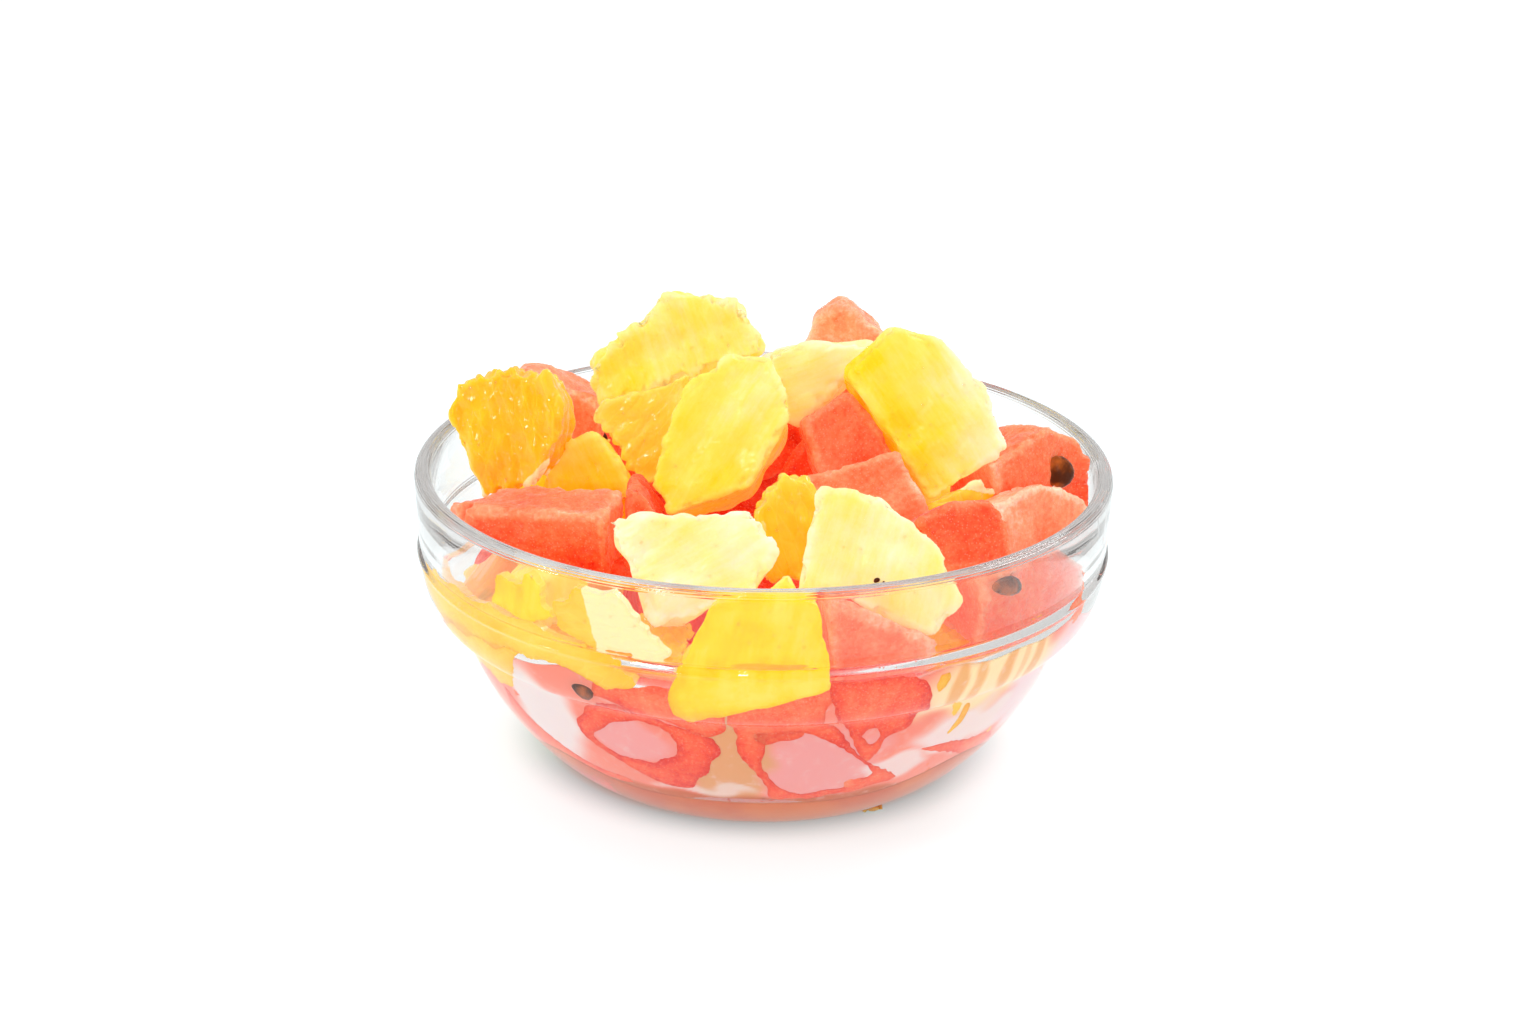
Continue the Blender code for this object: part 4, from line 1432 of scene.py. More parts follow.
@dataclass
class CutChunk:
    """One chunk of fruit, remade from its CAD node."""

    node: str
    cut: Cut
    number: int
    voxel: float = 0.75
    # Heights, and how far from the glass the fruit still gives way to it there
    contact_heights: tuple = (0.0, 38.0, 43.0, 55.0, 60.0, 76.5, 77.0)
    contact: tuple = (3.6, 3.6, 6.5, 6.5, 2.0, 2.0, 0.0)
    sink: float = 0.1
    # How far from the glass mist lies before a chunk, and the heights between which it thins out
    veil_reach: tuple = (7.0, 1.5)
    veil_heights: tuple = (60.0, 52.0)
    rind_blur: float = 1.2
    # The radius that unrolls angles to millimetres, for the air pockets
    wide: float = 70.0
    # The model's top, which no chunk passes, and how far under it points start to give way
    highest: float = 115.2
    soft_band: float = 2.5
    # How far one chunk's grain lies from the next one's, so that no two are alike
    grain_shift: tuple = (0.0371, 0.0173, 0.0053)
    object: bpy.types.Object | None = field(default=None, init=False)

    @property
    def fruit(self) -> Fruit:
        """What the chunk is cut from."""
        return Fruit(self.node.split("_")[0])

    def axes(self) -> tuple[Vector, Vector, Vector]:
        """The ways the front face points.

        Returns:
            Its way right, its way out and its way up.
        """
        tilt = Matrix.Rotation(math.radians(self.cut.pitch), 3, "X")
        turn = Matrix.Rotation(math.radians(self.cut.yaw), 3, "Z") @ tilt
        return turn @ Vector((1, 0, 0)), turn @ Vector((0, -1, 0)), turn @ Vector((0, 0, 1))

    def side(self, degrees: float) -> Vector:
        """A direction in the front face, clockwise from its way up.

        Args:
            degrees: Clockwise from its way up.

        Returns:
            The direction.
        """
        right, _, up = self.axes()
        turn = math.radians(degrees)
        return right * math.sin(turn) + up * math.cos(turn)

    def grain_axes(self) -> tuple[Vector, Vector, Vector]:
        """The ways across the fibres, out of the front face and along the fibres."""
        return self.side(self.cut.grain + 90), self.axes()[1], self.side(self.cut.grain)

    def copy_solid(self, source: bpy.types.Object) -> bpy.types.Object:
        """A welded copy of the CAD solid.

        Args:
            source: The CAD node's object.

        Returns:
            The copy.
        """
        solid = bmesh.new()
        solid.from_mesh(source.data)
        bmesh.ops.remove_doubles(solid, verts=solid.verts, dist=0.02 * MM)
        name = f"{self.node}_cut"
        return add_piece(name, mesh_of(solid, name))

    def shape(self, tree: CutSurfaceTree, finish: bpy.types.Material) -> None:
        """Gives the solid its fine surface.

        Args:
            tree: The Geometry Nodes that raise it.
            finish: Its material.
        """
        piece, relief = self.object, RELIEF[self.fruit]
        remesh = piece.modifiers.new("even mesh", "REMESH")
        remesh.mode, remesh.voxel_size = "VOXEL", self.voxel * MM
        soften = piece.modifiers.new("soft edges", "SMOOTH")
        soften.factor, soften.iterations = 0.5, relief.soft
        across, out, along = self.grain_axes()
        middle = Vector(rows_of(piece.data).mean(0))
        if self.cut.slim != 1.0:
            there, back = Matrix.Translation(middle), Matrix.Translation(-middle)
            piece.data.transform(there @ Matrix.Scale(self.cut.slim, 4, across) @ back)
        dimpled = self.cut.skin is not None
        values = relief.inputs(self.cut.rough, dimpled)
        values |= {"Centre": middle, "Across": across, "Outwards": out, "Along": along, "Finish": finish}
        values["Shift"] = Vector([self.number * shift for shift in self.grain_shift])
        values["Skin Side"] = self.side(self.cut.skin) if dimpled else along
        put_tree_on(piece, tree.tree, values)
        finished_mesh(piece)

    def keep_low(self) -> None:
        """Brings points that rise past the model's top softly under it."""
        points = rows_of(self.object.data)
        band = self.soft_band * MM
        over = np.maximum(points[:, 2] - (self.highest * MM - band), 0.0)
        points[:, 2] -= over - band * np.tanh(over / band)
        move_points(self.object.data, points)

    def press(self, wall: InnerWall) -> None:
        """Presses the chunk flat where it leans on the glass, and notes what lies close behind it.

        Args:
            wall: The inside of the glass.
        """
        mesh = self.object.data
        points = rows_of(mesh) / MM
        height = points[:, 2]
        gap, step = wall.nearest(points)
        way = step / np.maximum(np.abs(gap), 1e-6)[:, None] * np.sign(gap)[:, None]
        facing = (rows_of(mesh, "normal") * way).sum(1)
        angles = np.arctan2(points[:, 1], points[:, 0])
        turn = angles * self.wide
        pocket = np.sin(turn / 5.3 + height / 7.1) * np.sin(height / 4.7 - turn / 9.0)
        reach = np.interp(height, self.contact_heights, self.contact)
        reach *= self.cut.lean * (1.0 + 0.3 * pocket) * smooth_step(0.0, 0.4, facing)
        apart = np.zeros(len(points))
        for angle, middle, half_width, half_height in AIR_POCKETS:
            across = np.radians(turned_from(np.degrees(angles), angle)) * self.wide / half_width
            inside = np.hypot(across, (height - middle) / half_height) + 0.12 * pocket
            apart = np.maximum(apart, smooth_step(1.0, 0.92, inside))
        reach *= 1 - apart
        touch = smooth_step(1.2, 0.85, gap / np.maximum(reach, 0.01))
        touch[(gap < 0.3) & (height < self.contact_heights[-1]) & (apart < 0.5)] = 1.0
        points += way * ((gap + self.sink) * touch - np.clip(0.9 - gap, 0, 1.2) * apart)[:, None]
        move_points(mesh, points * MM)
        veil = (1 - touch) * smooth_step(*self.veil_reach, gap) * smooth_step(*self.veil_heights, height)
        note(mesh, "veil", veil)

    def lay_on_glass(self, wall: InnerWall) -> None:
        """Adds the faces that lie flat on the glass.

        Args:
            wall: The inside of the glass.
        """
        plans = PRESSED.get(self.node, ())
        if not plans:
            return
        mesh = self.object.data
        middle = rows_of(mesh).mean(0)
        solid = bmesh.new()
        solid.from_mesh(mesh)
        solid.verts.layers.float.new("pressed")
        for plan in plans:
            PressedFace(plan, wall).add_to(solid)
        axes = [np.array(axis) for axis in self.grain_axes()]
        grain, pressed = solid.verts.layers.float_vector["grain"], solid.verts.layers.float["pressed"]
        for vert in solid.verts:
            if vert[pressed] > 0.5:
                offset = np.array(vert.co) - middle
                vert[grain] = [float(offset @ axis) for axis in axes]
        solid.verts.layers.float.remove(pressed)
        solid.to_mesh(mesh)
        solid.free()

    def tint(self) -> None:
        """Notes how deep the colour is at each corner, and where membrane or pith lies."""
        mesh = self.object.data
        points = rows_of(mesh) / MM
        offset = points - points.mean(0)
        share = offset @ np.array(self.side(self.cut.toward))
        share = (share - share.min()) / max(np.ptp(share), 1e-6)
        pale, deep = self.cut.tone
        note(mesh, "tone", pale + (deep - pale) * share)
        rind = np.zeros(len(points))
        for angle, start in self.cut.rinds:
            away = offset @ np.array(self.side(angle))
            rind = np.maximum(rind, smooth_step(start - self.rind_blur, start + self.rind_blur, away))
        note(mesh, "rind", rind)

    def build(
        self, source: bpy.types.Object, tree: CutSurfaceTree, wall: InnerWall, finish: bpy.types.Material
    ) -> bpy.types.Object:
        """Makes the chunk in place of its CAD node.

        Args:
            source: The CAD node's object.
            tree: The Geometry Nodes that raise its surface.
            wall: The inside of the glass.
            finish: Its material.

        Returns:
            The finished piece.
        """
        self.object = self.copy_solid(source)
        self.shape(tree, finish)
        self.keep_low()
        self.press(wall)
        self.lay_on_glass(wall)
        self.tint()
        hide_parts(self.node)
        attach(self.object, BODY)
        return self.object


@dataclass
class HiddenFill(CutChunk):
    """A solid of the heap's hidden middle, which takes the look of one fruit."""

    kind: Fruit = Fruit.WATERMELON

    @property
    def fruit(self) -> Fruit:
        """The fruit that the solid looks like."""
        return self.kind


@dataclass
class FruitHeap:
    """Every chunk in the bowl."""

    wall: InnerWall
    shown_voxel: float = 0.7
    hidden_voxel: float = 1.0
    # The angle that spreads the hidden chunks' grain and tone evenly
    golden: float = 137.5
    # What the hidden middle looks like, by node, and the number and cut that it takes
    fills: tuple = (
        ("hidden_heap_back", Fruit.WATERMELON),
        ("hidden_heap_core", Fruit.WATERMELON),
        ("hidden_heap_left", Fruit.ORANGE),
    )
    fill_number: int = 70
    fill_cut: Cut = Cut(0, 0, 0, (0.85, 0.85))
    chunks: list[CutChunk] = field(default_factory=list, init=False)

    def cut_of(self, node: str, number: int) -> Cut:
        """How a chunk is cut: by name if the front shows it, else by its place round the bowl.

        Args:
            node: The CAD node's name.
            number: Its place in the order of making.

        Returns:
            The cut.
        """
        if node in CUTS:
            return CUTS[node]
        low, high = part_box(node)
        middle = (low + high) / 2
        yaw = math.degrees(math.atan2(middle.y, middle.x)) + 90
        spread = number * self.golden
        tone = 0.4 + 0.35 * (spread % 100) / 100
        rinds = ((0, 9.0),) if node.startswith("orange") else ()
        skin = 180.0 if node.startswith("pineapple") else None
        return Cut(0, yaw, spread % 120 - 60, (tone, tone + 0.12), 90, skin, rinds)

    def build(self, nodes: dict[str, bpy.types.Object], shared: SharedEffects) -> list[bpy.types.Object]:
        """Makes all the chunks.

        Args:
            nodes: The CAD nodes' objects by name.
            shared: The node groups that the finishes place.

        Returns:
            The finished pieces.
        """
        flesh = {fruit: finish.build(shared) for fruit, finish in FLESH.items()}
        tree = CutSurfaceTree()
        names = [n for n in sorted(nodes) if n.startswith(tuple(f.value for f in Fruit))]
        for number, node in enumerate(names):
            voxel = self.shown_voxel if node in CUTS else self.hidden_voxel
            self.chunks.append(CutChunk(node, self.cut_of(node, number), number, voxel))
        alike = (self.fill_cut, self.fill_number, self.hidden_voxel)
        fills = [HiddenFill(node, *alike, kind=kind) for node, kind in self.fills]
        every = self.chunks + fills
        return [chunk.build(nodes[chunk.node], tree, self.wall, flesh[chunk.fruit]) for chunk in every]


@dataclass(frozen=True)
class Juice:
    """The juice on the floor of the bowl, which also creeps up between the chunks along the glass."""

    wall: InnerWall
    # Its surface, and the floor that it reaches just into
    level: float = 14.4
    floor: float = 4.9
    sink: float = 0.15
    rings: int = 40
    wall_rings: int = 12
    steps: int = 240
    # Places where it has crept up: angle round the bowl, width in degrees, height gained
    pools: tuple = ((-40, 16, 6), (-140, 14, 5), (60, 14, 5), (150, 12, 6))
    # How far it climbs the glass all round
    brim: float = 0.8

    def height(self, turn: float, share: float) -> float:
        """Height of the surface at an angle, and a share of the way out to the glass.

        Args:
            turn: The angle round the bowl in radians.
            share: How far out to the glass, from 0 to 1.

        Returns:
            The height in millimetres.
        """
        creep = 0.0
        for angle, width, rise in self.pools:
            creep += rise * math.exp(-((turned_from(math.degrees(turn), angle) / width) ** 2))
        return self.level + (creep + self.brim) * share**14

    def build(self, shared: SharedEffects) -> bpy.types.Object:
        """Makes the juice in place of its CAD node.

        Args:
            shared: The node groups its finish places.

        Returns:
            The finished piece.
        """
        turns = np.linspace(0, 2 * math.pi, self.steps, endpoint=False)
        rings = [[(0.0, 0.0, self.level)]]
        for share in np.linspace(0, 1, self.rings)[1:] ** 0.5:
            rings.append([self.wall.spot(t, self.height(t, share), self.sink, share) for t in turns])
        for share in np.linspace(1, 0, self.wall_rings)[1:]:
            heights = [self.floor + (self.height(t, 1.0) - self.floor) * share for t in turns]
            rings.append([self.wall.spot(t, z, self.sink) for t, z in zip(turns, heights)])
        rings.append([(0.0, 0.0, self.floor)])
        piece = add_piece("pooled_juice", ring_solid("pooled_juice", rings))
        piece.data.materials.append(PooledJuice().build(shared))
        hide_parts("juice")
        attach(piece, BODY)
        return piece


@dataclass(frozen=True)
class JuiceFilm:
    """Juice and froth that cling to the lower wall between the chunks."""

    wall: InnerWall
    # Its lower edge dips into the pooled juice, but for a stretch of bare glass: height, angle and width
    foot: float = 14.6
    bare: tuple = (2.2, -93.0, 13.0)
    # Angles round the bowl, and how high the film reaches there
    top_angles: tuple = (-180, -150, -120, -100, -80, -62, -35, 0, 60, 120, 180)
    tops: tuple = (46, 49, 52, 50, 54, 53, 54, 47, 44, 47, 46)
    sink: float = 0.05
    thickness: float = 0.35
    rows: int = 56
    steps: int = 720
    # Washes of other colour: angle, height, half width in degrees, half height, colour and how strong
    washes: tuple = (
        (-136, 34, 9, 15, Wash.MIST, 1.0),
        (-146, 44, 7, 8, Wash.MIST, 0.8),
        (-121, 47, 6, 5, Wash.PINK, 1.0),
        (-115, 33, 9, 7, Wash.ROSE, 1.0),
        (-78, 28, 13, 12, Wash.ROSE, 1.0),
        (-96, 30, 8, 22, Wash.UMBER, 1.0),
        (-46, 46, 17, 10, Wash.PEACH, 1.0),
        (-55.5, 48, 1.5, 7, Wash.AMBER, 0.9),
        (-51.3, 49, 1.3, 7, Wash.AMBER, 0.8),
        (-45, 48.5, 1.5, 6, Wash.AMBER, 0.9),
        (-41, 50, 0.8, 5, Wash.AMBER, 0.5),
        (-37.5, 49, 1.4, 6, Wash.AMBER, 0.8),
        # A thin pale line over the juice: a painted highlight
        (-102, 19.5, 11, 1.6, Wash.MIST, 0.6),
        (-62, 24, 8, 4, Wash.MIST, 0.8),
        (-45, 31, 14, 6, Wash.MIST, 0.9),
        (-24, 38, 12, 16, Wash.LILAC, 0.9),
        (30, 34, 20, 12, Wash.MIST, 0.8),
        (90, 30, 18, 10, Wash.ROSE, 0.8),
        (150, 36, 16, 10, Wash.PEACH, 0.9),
    )
    # Between these heights the washes give way to the tan of the pooled juice
    clear_of_juice: float = 19.0
    in_juice: float = 16.5

    def top(self, turn: float) -> float:
        """Height of its upper edge at an angle round the bowl, in radians."""
        height = float(np.interp(turned_from(math.degrees(turn), 0), self.top_angles, self.tops))
        return height + 0.8 * math.sin(11 * turn) + 0.5 * math.sin(23 * turn)

    def bottom(self, turn: float) -> float:
        """Height of its lower edge at an angle round the bowl, in radians."""
        rise, angle, width = self.bare
        return self.foot + rise * math.exp(-((turned_from(math.degrees(turn), angle) / width) ** 4))

    def wash(self, mesh: bpy.types.Mesh) -> None:
        """Notes the juice's colour at each corner of the film.

        Args:
            mesh: The film.
        """
        points = rows_of(mesh) / MM
        x, y, z = points.T
        degrees = np.degrees(np.arctan2(y, x))
        colours = np.tile(np.array(Wash.PINK.value), (len(points), 1))
        sway = 1.2 * np.sin(x / 2.3 + z / 3.1) + 0.8 * np.sin(y / 1.7 - z / 2.2)
        for angle, height, half_width, half_height, wash, strength in self.washes:
            across = (turned_from(degrees, angle) + sway * min(0.8, half_width / 8)) / half_width
            share = smooth_step(1.25, 0.7, np.hypot(across, (z + sway - height) / half_height)) * strength
            colours += share[:, None] * (np.array(wash.value) - colours)
        low = smooth_step(self.clear_of_juice, self.in_juice, z + 0.4 * sway)[:, None]
        colours += low * (np.array(Wash.TAN.value) - colours)
        note(mesh, "wash", colours)

    def build(self, shared: SharedEffects) -> bpy.types.Object:
        """Makes the film as a thin closed sleeve.

        Args:
            shared: The node groups its finish places.

        Returns:
            The finished piece.
        """
        turns = np.linspace(0, 2 * math.pi, self.steps, endpoint=False)
        edges = [(t, self.bottom(t), self.top(t) - self.bottom(t)) for t in turns]
        rise = np.linspace(0, 1, self.rows)
        rings = []
        for offset, shares in ((self.sink, rise), (-self.thickness, rise[::-1])):
            for share in shares:
                rings.append([self.wall.spot(t, low + span * share, offset) for t, low, span in edges])
        mesh = ring_solid("juice_film", rings, closed=True)
        self.wash(mesh)
        piece = add_piece("juice_film", mesh)
        mesh.materials.append(FrothyFilm().build(shared))
        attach(piece, BODY)
        return piece


class BeadTree:
    """Geometry Nodes that put a rounded bead at each point of a mesh, by its own size and turn."""

    def __init__(self) -> None:
        """Builds the tree."""
        w, given = new_shape_tree("beads on points", dict.fromkeys(("Taper", "Unevenness"), (FLOAT, 0.0)))
        self.tree = w.tree
        spots = w.add("GeometryNodeMeshToPoints", {"Mesh": given["Geometry"]})[0]
        ball = w.add("GeometryNodeMeshUVSphere", {"Segments": 14, "Rings": 9, "Radius": 1.0})[0]
        place = w.add("GeometryNodeInputPosition")[0]
        narrow = w.maths("SUBTRACT", 1.0, w.maths("MULTIPLY", w.parts(place)[1], given["Taper"]))
        shape = w.add("ShaderNodeCombineXYZ", {0: narrow, 1: 1.0, 2: narrow})[0]
        tapered = {"Geometry": ball, "Position": w.vectors("MULTIPLY", place, shape)}
        bead = w.add("GeometryNodeSetPosition", tapered)[0]
        turn, size = (
            w.add("GeometryNodeInputNamedAttribute", {"Name": name}, data_type="FLOAT_VECTOR")[0]
            for name in ("turn", "size")
        )
        laid = {"Points": spots, "Instance": bead, "Rotation": turn, "Scale": size}
        real = w.add("GeometryNodeRealizeInstances", {0: w.add("GeometryNodeInstanceOnPoints", laid)[0]})[0]
        lumps = w.swing(w.noise(w.scaled(place), 1.1, 2.0), w.maths("MULTIPLY", given["Unevenness"], MM))
        push = w.scaled(w.add("GeometryNodeInputNormal")[0], lumps)
        w.end_smooth(w.add("GeometryNodeSetPosition", {"Geometry": real, "Offset": push})[0], given["Finish"])


class DropTree:
    """Geometry Nodes that scatter small flattened drops over the upper faces of a mesh."""

    def __init__(self) -> None:
        """Builds the tree."""
        inputs = {"Density": (FLOAT, 20000.0), "Seed": (WHOLE, 7)}
        inputs |= {"Smallest": (FLOAT, 0.2), "Largest": (FLOAT, 0.6)}
        w, given = new_shape_tree("scattered drops", inputs)
        self.tree = w.tree
        facing = w.parts(w.add("GeometryNodeInputNormal")[0])[2]
        chosen = {"Mesh": given["Geometry"], "Selection": w.maths("GREATER_THAN", facing, -0.2)}
        chosen |= {name: given[name] for name in ("Density", "Seed")}
        scattered = w.add("GeometryNodeDistributePointsOnFaces", chosen)
        ball = w.add("GeometryNodeMeshIcoSphere", {"Radius": MM, "Subdivisions": 2})[0]
        drop = w.add("GeometryNodeTransform", {"Geometry": ball, "Scale": (1.0, 1.0, 0.55)})[0]
        # The node's sockets for plain numbers are its third and fourth, and its second output
        limits = {2: given["Smallest"], 3: given["Largest"], "Seed": given["Seed"]}
        size = w.add("FunctionNodeRandomValue", limits, data_type="FLOAT")[1]
        laid = {"Points": scattered[0], "Instance": drop, "Rotation": scattered["Rotation"], "Scale": size}
        real = w.add("GeometryNodeRealizeInstances", {0: w.add("GeometryNodeInstanceOnPoints", laid)[0]})[0]
        w.end_smooth(real, given["Finish"])


@dataclass(frozen=True)
class Bead:
    """A seed, crumb or bubble.

    Place is roughly where it lies; near is the chunk whose surface it is put on, "glass" to put it
    against the glass, or None to leave it.
    Size is its half width, half length and half thickness, and turn is the way of its length in its
    surface, in degrees. Places and sizes are in millimetres.
    """

    place: tuple
    size: tuple
    turn: float = 0.0
    near: str | None = None
    sink: float = 0.3


SEEDS = (
    Bead((71.5, -5, 77.5), (3.7, 4.3, 1.9), 20, "watermelon_right_seeded"),
    Bead((55, -50, 65.5), (1.8, 6.2, 1.1), 74, "watermelon_wall_right"),
    Bead((-37.3, -62.1, 48.6), (2.7, 3.6, 1.4), 60, "glass"),
    Bead((30, 52, 70), (2.6, 4.0, 1.2), 40, "watermelon_back_peak"),
    Bead((-40, 45, 60), (2.5, 3.8, 1.2), -30, "watermelon_back_left"),
)
CRUMBS = (
    Bead((26, -58, 70), (0.75, 0.55, 0.4), 30, "pineapple_pale_right"),
    Bead((27.6, -58, 69.6), (0.3, 0.35, 0.2), 10, "pineapple_pale_right"),
)
PULP = (
    Bead((27.5, -35.5, 0.95), (1.1, 1.6, 0.8), 70),
    Bead((29.4, -34.6, 0.65), (0.6, 0.9, 0.5), 20),
    Bead((25.6, -36.2, 0.55), (0.5, 0.8, 0.4), -40),
)


@dataclass
class SmallPieces:
    """Seeds, brown crumbs, pulp and drops of juice."""

    chunks: list[CutChunk]
    wall: InnerWall
    # How far out and up the places are from which beads are dropped on the fruit, in metres
    dropped_from: tuple = (0.65, 0.32)
    glass_overlap: float = 0.3
    bubble_count: int = 46
    bubble_sizes: tuple = (0.22, 0.6)
    bubble_seed: int = 11
    # Clusters of bubbles: angle round the bowl, height, half width in degrees and half height
    clusters: tuple = (
        (-69, 56.5, 2.5, 1.2), (-62, 56.5, 5, 0.7), (-88, 17, 1.6, 1.0),
        (-95, 16, 3, 0.7), (-45, 56.0, 5, 0.8),
    )
    # How many drops lie on a square metre, their sizes, and the height that they stay above
    drop_density: float = 26000.0
    drop_sizes: tuple = (0.12, 0.42)
    drop_seed: int = 5
    drop_z: float = 62.0

    def surface(self, node: str) -> BVHTree:
        """The finished surface of a chunk, for finding places on it."""
        mesh = next(c.object for c in self.chunks if c.node == node).data
        return BVHTree.FromPolygons([v.co for v in mesh.vertices], [tuple(p.vertices) for p in mesh.polygons])

    def settled(self, bead: Bead) -> tuple[Vector, Vector]:
        """Where a bead lies, and its turn as three angles.

        Args:
            bead: The bead.

        Returns:
            Its middle in metres and its Euler angles.
        """
        place, out = Vector(bead.place) * MM, Vector((0, 0, 1))
        if bead.near == "glass":
            out = Vector((place.x, place.y, 0)).normalized()
            reach = float(self.wall.radius(bead.place[2])) - bead.size[2] + self.glass_overlap
            place = Vector((out.x * reach * MM, out.y * reach * MM, place.z))
        elif bead.near:
            surface = self.surface(bead.near)
            far, high = self.dropped_from
            eye = Vector((0.0, -far if place.y < 10 * MM else far, high))
            found, out, _, _ = surface.ray_cast(eye, (place - eye).normalized())
            if found is None:
                found, out, _, _ = surface.find_nearest(place)
            place = found + out * (bead.size[2] * (1 - bead.sink) * 0.5 * MM)
        basis = out.to_track_quat("Z", "Y") @ Matrix.Rotation(math.radians(bead.turn), 3, "Z").to_quaternion()
        return place, Vector(basis.to_euler())

    @staticmethod
    def finish(piece: bpy.types.Object, slot: str) -> bpy.types.Object:
        """Ends a piece: its modifiers become its mesh, and it takes its body.

        Args:
            piece: The piece.
            slot: The material slot it stands for; not used.

        Returns:
            The same piece.
        """
        finished_mesh(piece)
        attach(piece, BODY)
        return piece

    def strew(self, name: str, slot: str, beads: tuple, tree: BeadTree, values: dict) -> bpy.types.Object:
        """Makes one piece of many beads.

        Args:
            name: The piece's name.
            slot: The material slot it stands for.
            beads: What it is made of.
            tree: The Geometry Nodes that shape them.
            values: The tree's inputs by name.

        Returns:
            The finished piece.
        """
        settled = [self.settled(bead) for bead in beads]
        mesh = bpy.data.meshes.new(name)
        mesh.from_pydata([place for place, _ in settled], [], [])
        note(mesh, "turn", np.array([turn for _, turn in settled]))
        note(mesh, "size", np.array([Vector(bead.size) * MM for bead in beads]))
        piece = add_piece(name, mesh)
        put_tree_on(piece, tree.tree, values)
        return self.finish(piece, slot)

    def bubbles(self) -> tuple:
        """Clusters of small bubbles of froth against the glass.

        Returns:
            The bubbles.
        """
        chance = random.Random(self.bubble_seed)
        found = []
        for k in range(self.bubble_count):
            turn, height, half_turn, half_height = self.clusters[k % len(self.clusters)]
            angle = math.radians(turn + chance.uniform(-1, 1) * half_turn)
            z = height + chance.uniform(-1, 1) * half_height
            size = chance.uniform(*self.bubble_sizes)
            found.append(Bead(self.wall.spot(angle, z, -0.9 * size), (size, size, size)))
        return tuple(found)

    def drops(self) -> bpy.types.Object:
        """Drops of juice on the faces above the glass's shoulder.

        Returns:
            The finished piece.
        """
        joined = bmesh.new()
        for chunk in self.chunks:
            if chunk.node in CUTS:
                joined.from_mesh(chunk.object.data)
        low = [v for v in joined.verts if v.co.z < self.drop_z * MM]
        bmesh.ops.delete(joined, geom=low, context="VERTS")
        piece = add_piece("juice_drops", mesh_of(joined, "juice_drops"))
        smallest, largest = self.drop_sizes
        values = {"Density": self.drop_density, "Smallest": smallest, "Largest": largest}
        values |= {"Seed": self.drop_seed, "Finish": ClearJuice().build()}
        put_tree_on(piece, DropTree().tree, values)
        return self.finish(piece, "juice")

    def build(self, shared: SharedEffects) -> list[bpy.types.Object]:
        """Makes every small piece.

        Args:
            shared: The node groups that the pulp's finish places.

        Returns:
            The finished pieces.
        """
        tree, coat = BeadTree(), SeedCoat().build()
        froth = ClearJuice(tint=(1.0, 0.9, 0.88)).build()
        # Name, slot, beads, taper, unevenness and finish
        kinds = (
            ("melon_seeds", "watermelon", SEEDS, 0.28, 0.25, coat),
            ("brown_crumbs", "pineapple", CRUMBS, 0.1, 0.5, coat),
            ("fallen_pulp", "pineapple", PULP, 0.2, 0.9, FALLEN_PULP.build(shared)),
            ("froth_bubbles", "juice", self.bubbles(), 0.0, 0.0, froth),
        )
        made = []
        for name, slot, beads, taper, uneven, finish in kinds:
            values = {"Taper": taper, "Unevenness": uneven, "Finish": finish}
            made.append(self.strew(name, slot, beads, tree, values))
        return [*made, self.drops()]


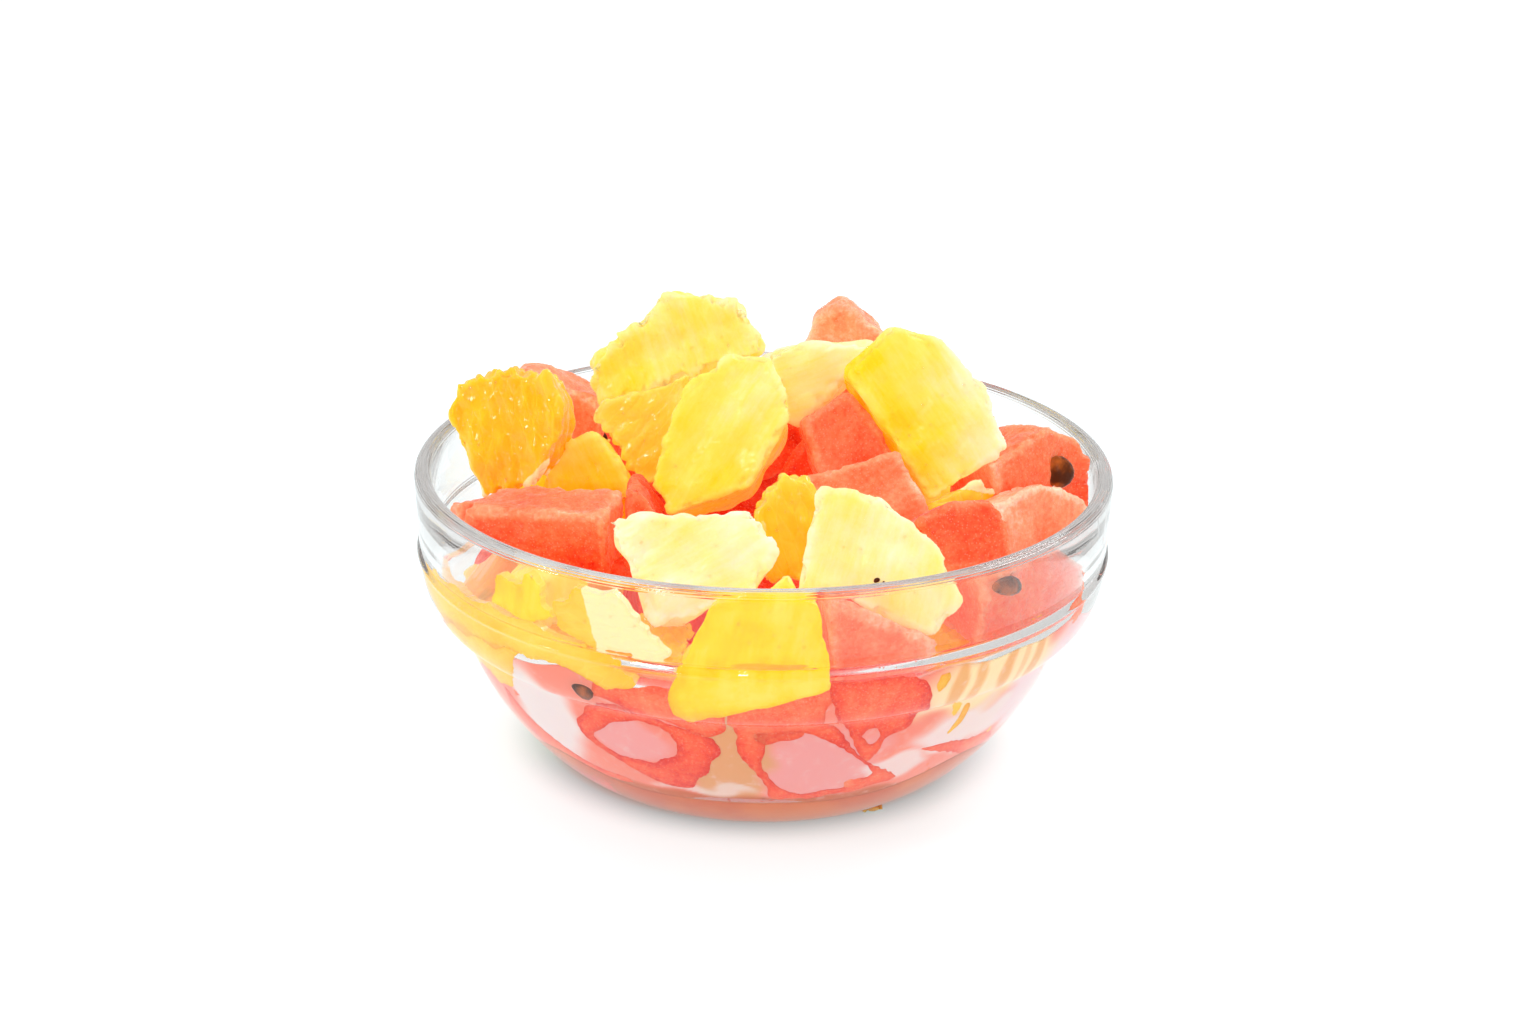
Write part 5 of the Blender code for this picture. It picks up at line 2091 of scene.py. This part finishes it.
@dataclass(frozen=True)
class Studio:
    """The table, soft lights and camera."""

    lens: float = 66.53
    sensor: float = 36.0
    distance: float = 0.70
    elevation: float = 21.3
    roll: float = 0.8
    target: tuple = (0.0014, 0.0, 0.0637)
    floor_half: float = 3.0
    bounces: int = 80
    # Lamps: name, place and size in metres, and power in watts
    lamps: tuple = (
        ("key light", (-0.5, -0.55, 0.95), (0.2, 0.16), 1.8),
        ("front right light", (0.6, -0.95, 0.5), (0.3, 0.4), 1.7),
        ("back light", (0.6, 0.5, 0.8), (0.4, 0.35), 3.0),
        ("left window", (-0.95, -0.38, 0.36), (0.14, 0.1), 0.9),
        ("low glint", (-0.5, -0.95, 0.33), (0.16, 0.08), 0.8),
        ("high glint", (-0.08, -0.68, 0.82), (0.05, 0.04), 0.3),
    )
    lit_spot: tuple = (0.0, 0.0, 0.05)
    # The room's tone from low to high, and its dark side, which gives the glass its edges
    tones: tuple = ((0.0, (0.7, 0.7, 0.71)), (0.45, (0.9, 0.9, 0.9)), (1.0, (1.0, 1.0, 1.0)))
    dark: Colour = (0.1, 0.1, 0.105)
    room_strength: float = 0.85

    def camera(self) -> None:
        """Sets the camera at its angle to the bowl."""
        data = bpy.data.cameras.new("camera")
        data.lens, data.sensor_width, data.clip_start = self.lens, self.sensor, 0.01
        camera = add_piece("camera", data)
        lift, roll = math.radians(self.elevation), math.radians(self.roll)
        back = Vector((0.0, -math.cos(lift), math.sin(lift)))
        right = Vector((1.0, 0.0, 0.0))
        up = back.cross(right)
        turned_right = right * math.cos(roll) + up * math.sin(roll)
        turned_up = up * math.cos(roll) - right * math.sin(roll)
        matrix = Matrix((turned_right, turned_up, back)).transposed().to_4x4()
        matrix.translation = Vector(self.target) + back * self.distance
        camera.matrix_world = matrix
        bpy.context.scene.camera = camera

    def lights(self) -> None:
        """Hangs the soft rectangular lights, aimed at the bowl."""
        for name, place, size, power in self.lamps:
            data = bpy.data.lights.new(name, "AREA")
            data.shape, data.size, data.size_y, data.energy = "RECTANGLE", *size, power
            lamp = add_piece(name, data)
            lamp.location = place
            lamp.rotation_euler = (Vector(self.lit_spot) - Vector(place)).to_track_quat("-Z", "Y").to_euler()

    def surroundings(self) -> None:
        """A white room that is a little darker low down, so that the glass has edges."""
        scene = bpy.context.scene
        scene.view_settings.view_transform = "Standard"
        # Light that runs along inside the glass is turned back many times before it leaves
        cycles = scene.cycles
        cycles.max_bounces = cycles.transmission_bounces = cycles.glossy_bounces = self.bounces
        scene.world = world = bpy.data.worlds.new("white room")
        world.use_nodes = True
        w = Wiring(world.node_tree)
        way = w.parts(w.add("ShaderNodeTexCoord")["Generated"])
        height = w.ramp(w.ease(way[2], -0.1, 0.7), self.tones)
        shade = w.blend(w.ease(way[1], -0.25, -0.85, 0.0, 0.75), height, self.dark)
        w.feed(world.node_tree.nodes["Background"], {0: shade, 1: self.room_strength})

    def build(self) -> None:
        """Makes the floor, the lights and the camera."""
        mesh = bpy.data.meshes.new("table")
        half = self.floor_half
        corners = [(-half, -half, 0), (half, -half, 0), (half, half, 0), (-half, half, 0)]
        mesh.from_pydata(corners, [], [(0, 1, 2, 3)])
        mesh.materials.append(PaleFloor().build())
        add_piece("table", mesh)
        self.lights()
        self.surroundings()
        self.camera()


def main() -> None:
    """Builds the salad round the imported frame."""
    logging.basicConfig(level=logging.INFO, format="%(name)s: %(message)s")
    for spare in [o for o in bpy.context.scene.objects if o.type != "EMPTY"]:
        bpy.data.objects.remove(spare)
    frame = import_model()
    shared = SharedEffects()
    bowl = GlassBowl()
    wall = InnerWall(bowl)
    heap = FruitHeap(wall)
    pieces = [bowl.build(ClearGlass()), *heap.build(frame["nodes"], shared)]
    pieces += [Juice(wall).build(shared), JuiceFilm(wall).build(shared)]
    pieces += SmallPieces(heap.chunks, wall).build(shared)
    for piece in pieces:
        LOG.info("%s: %d faces", piece.name, len(piece.data.polygons))
    Studio().build()


if __name__ == "__main__":
    main()
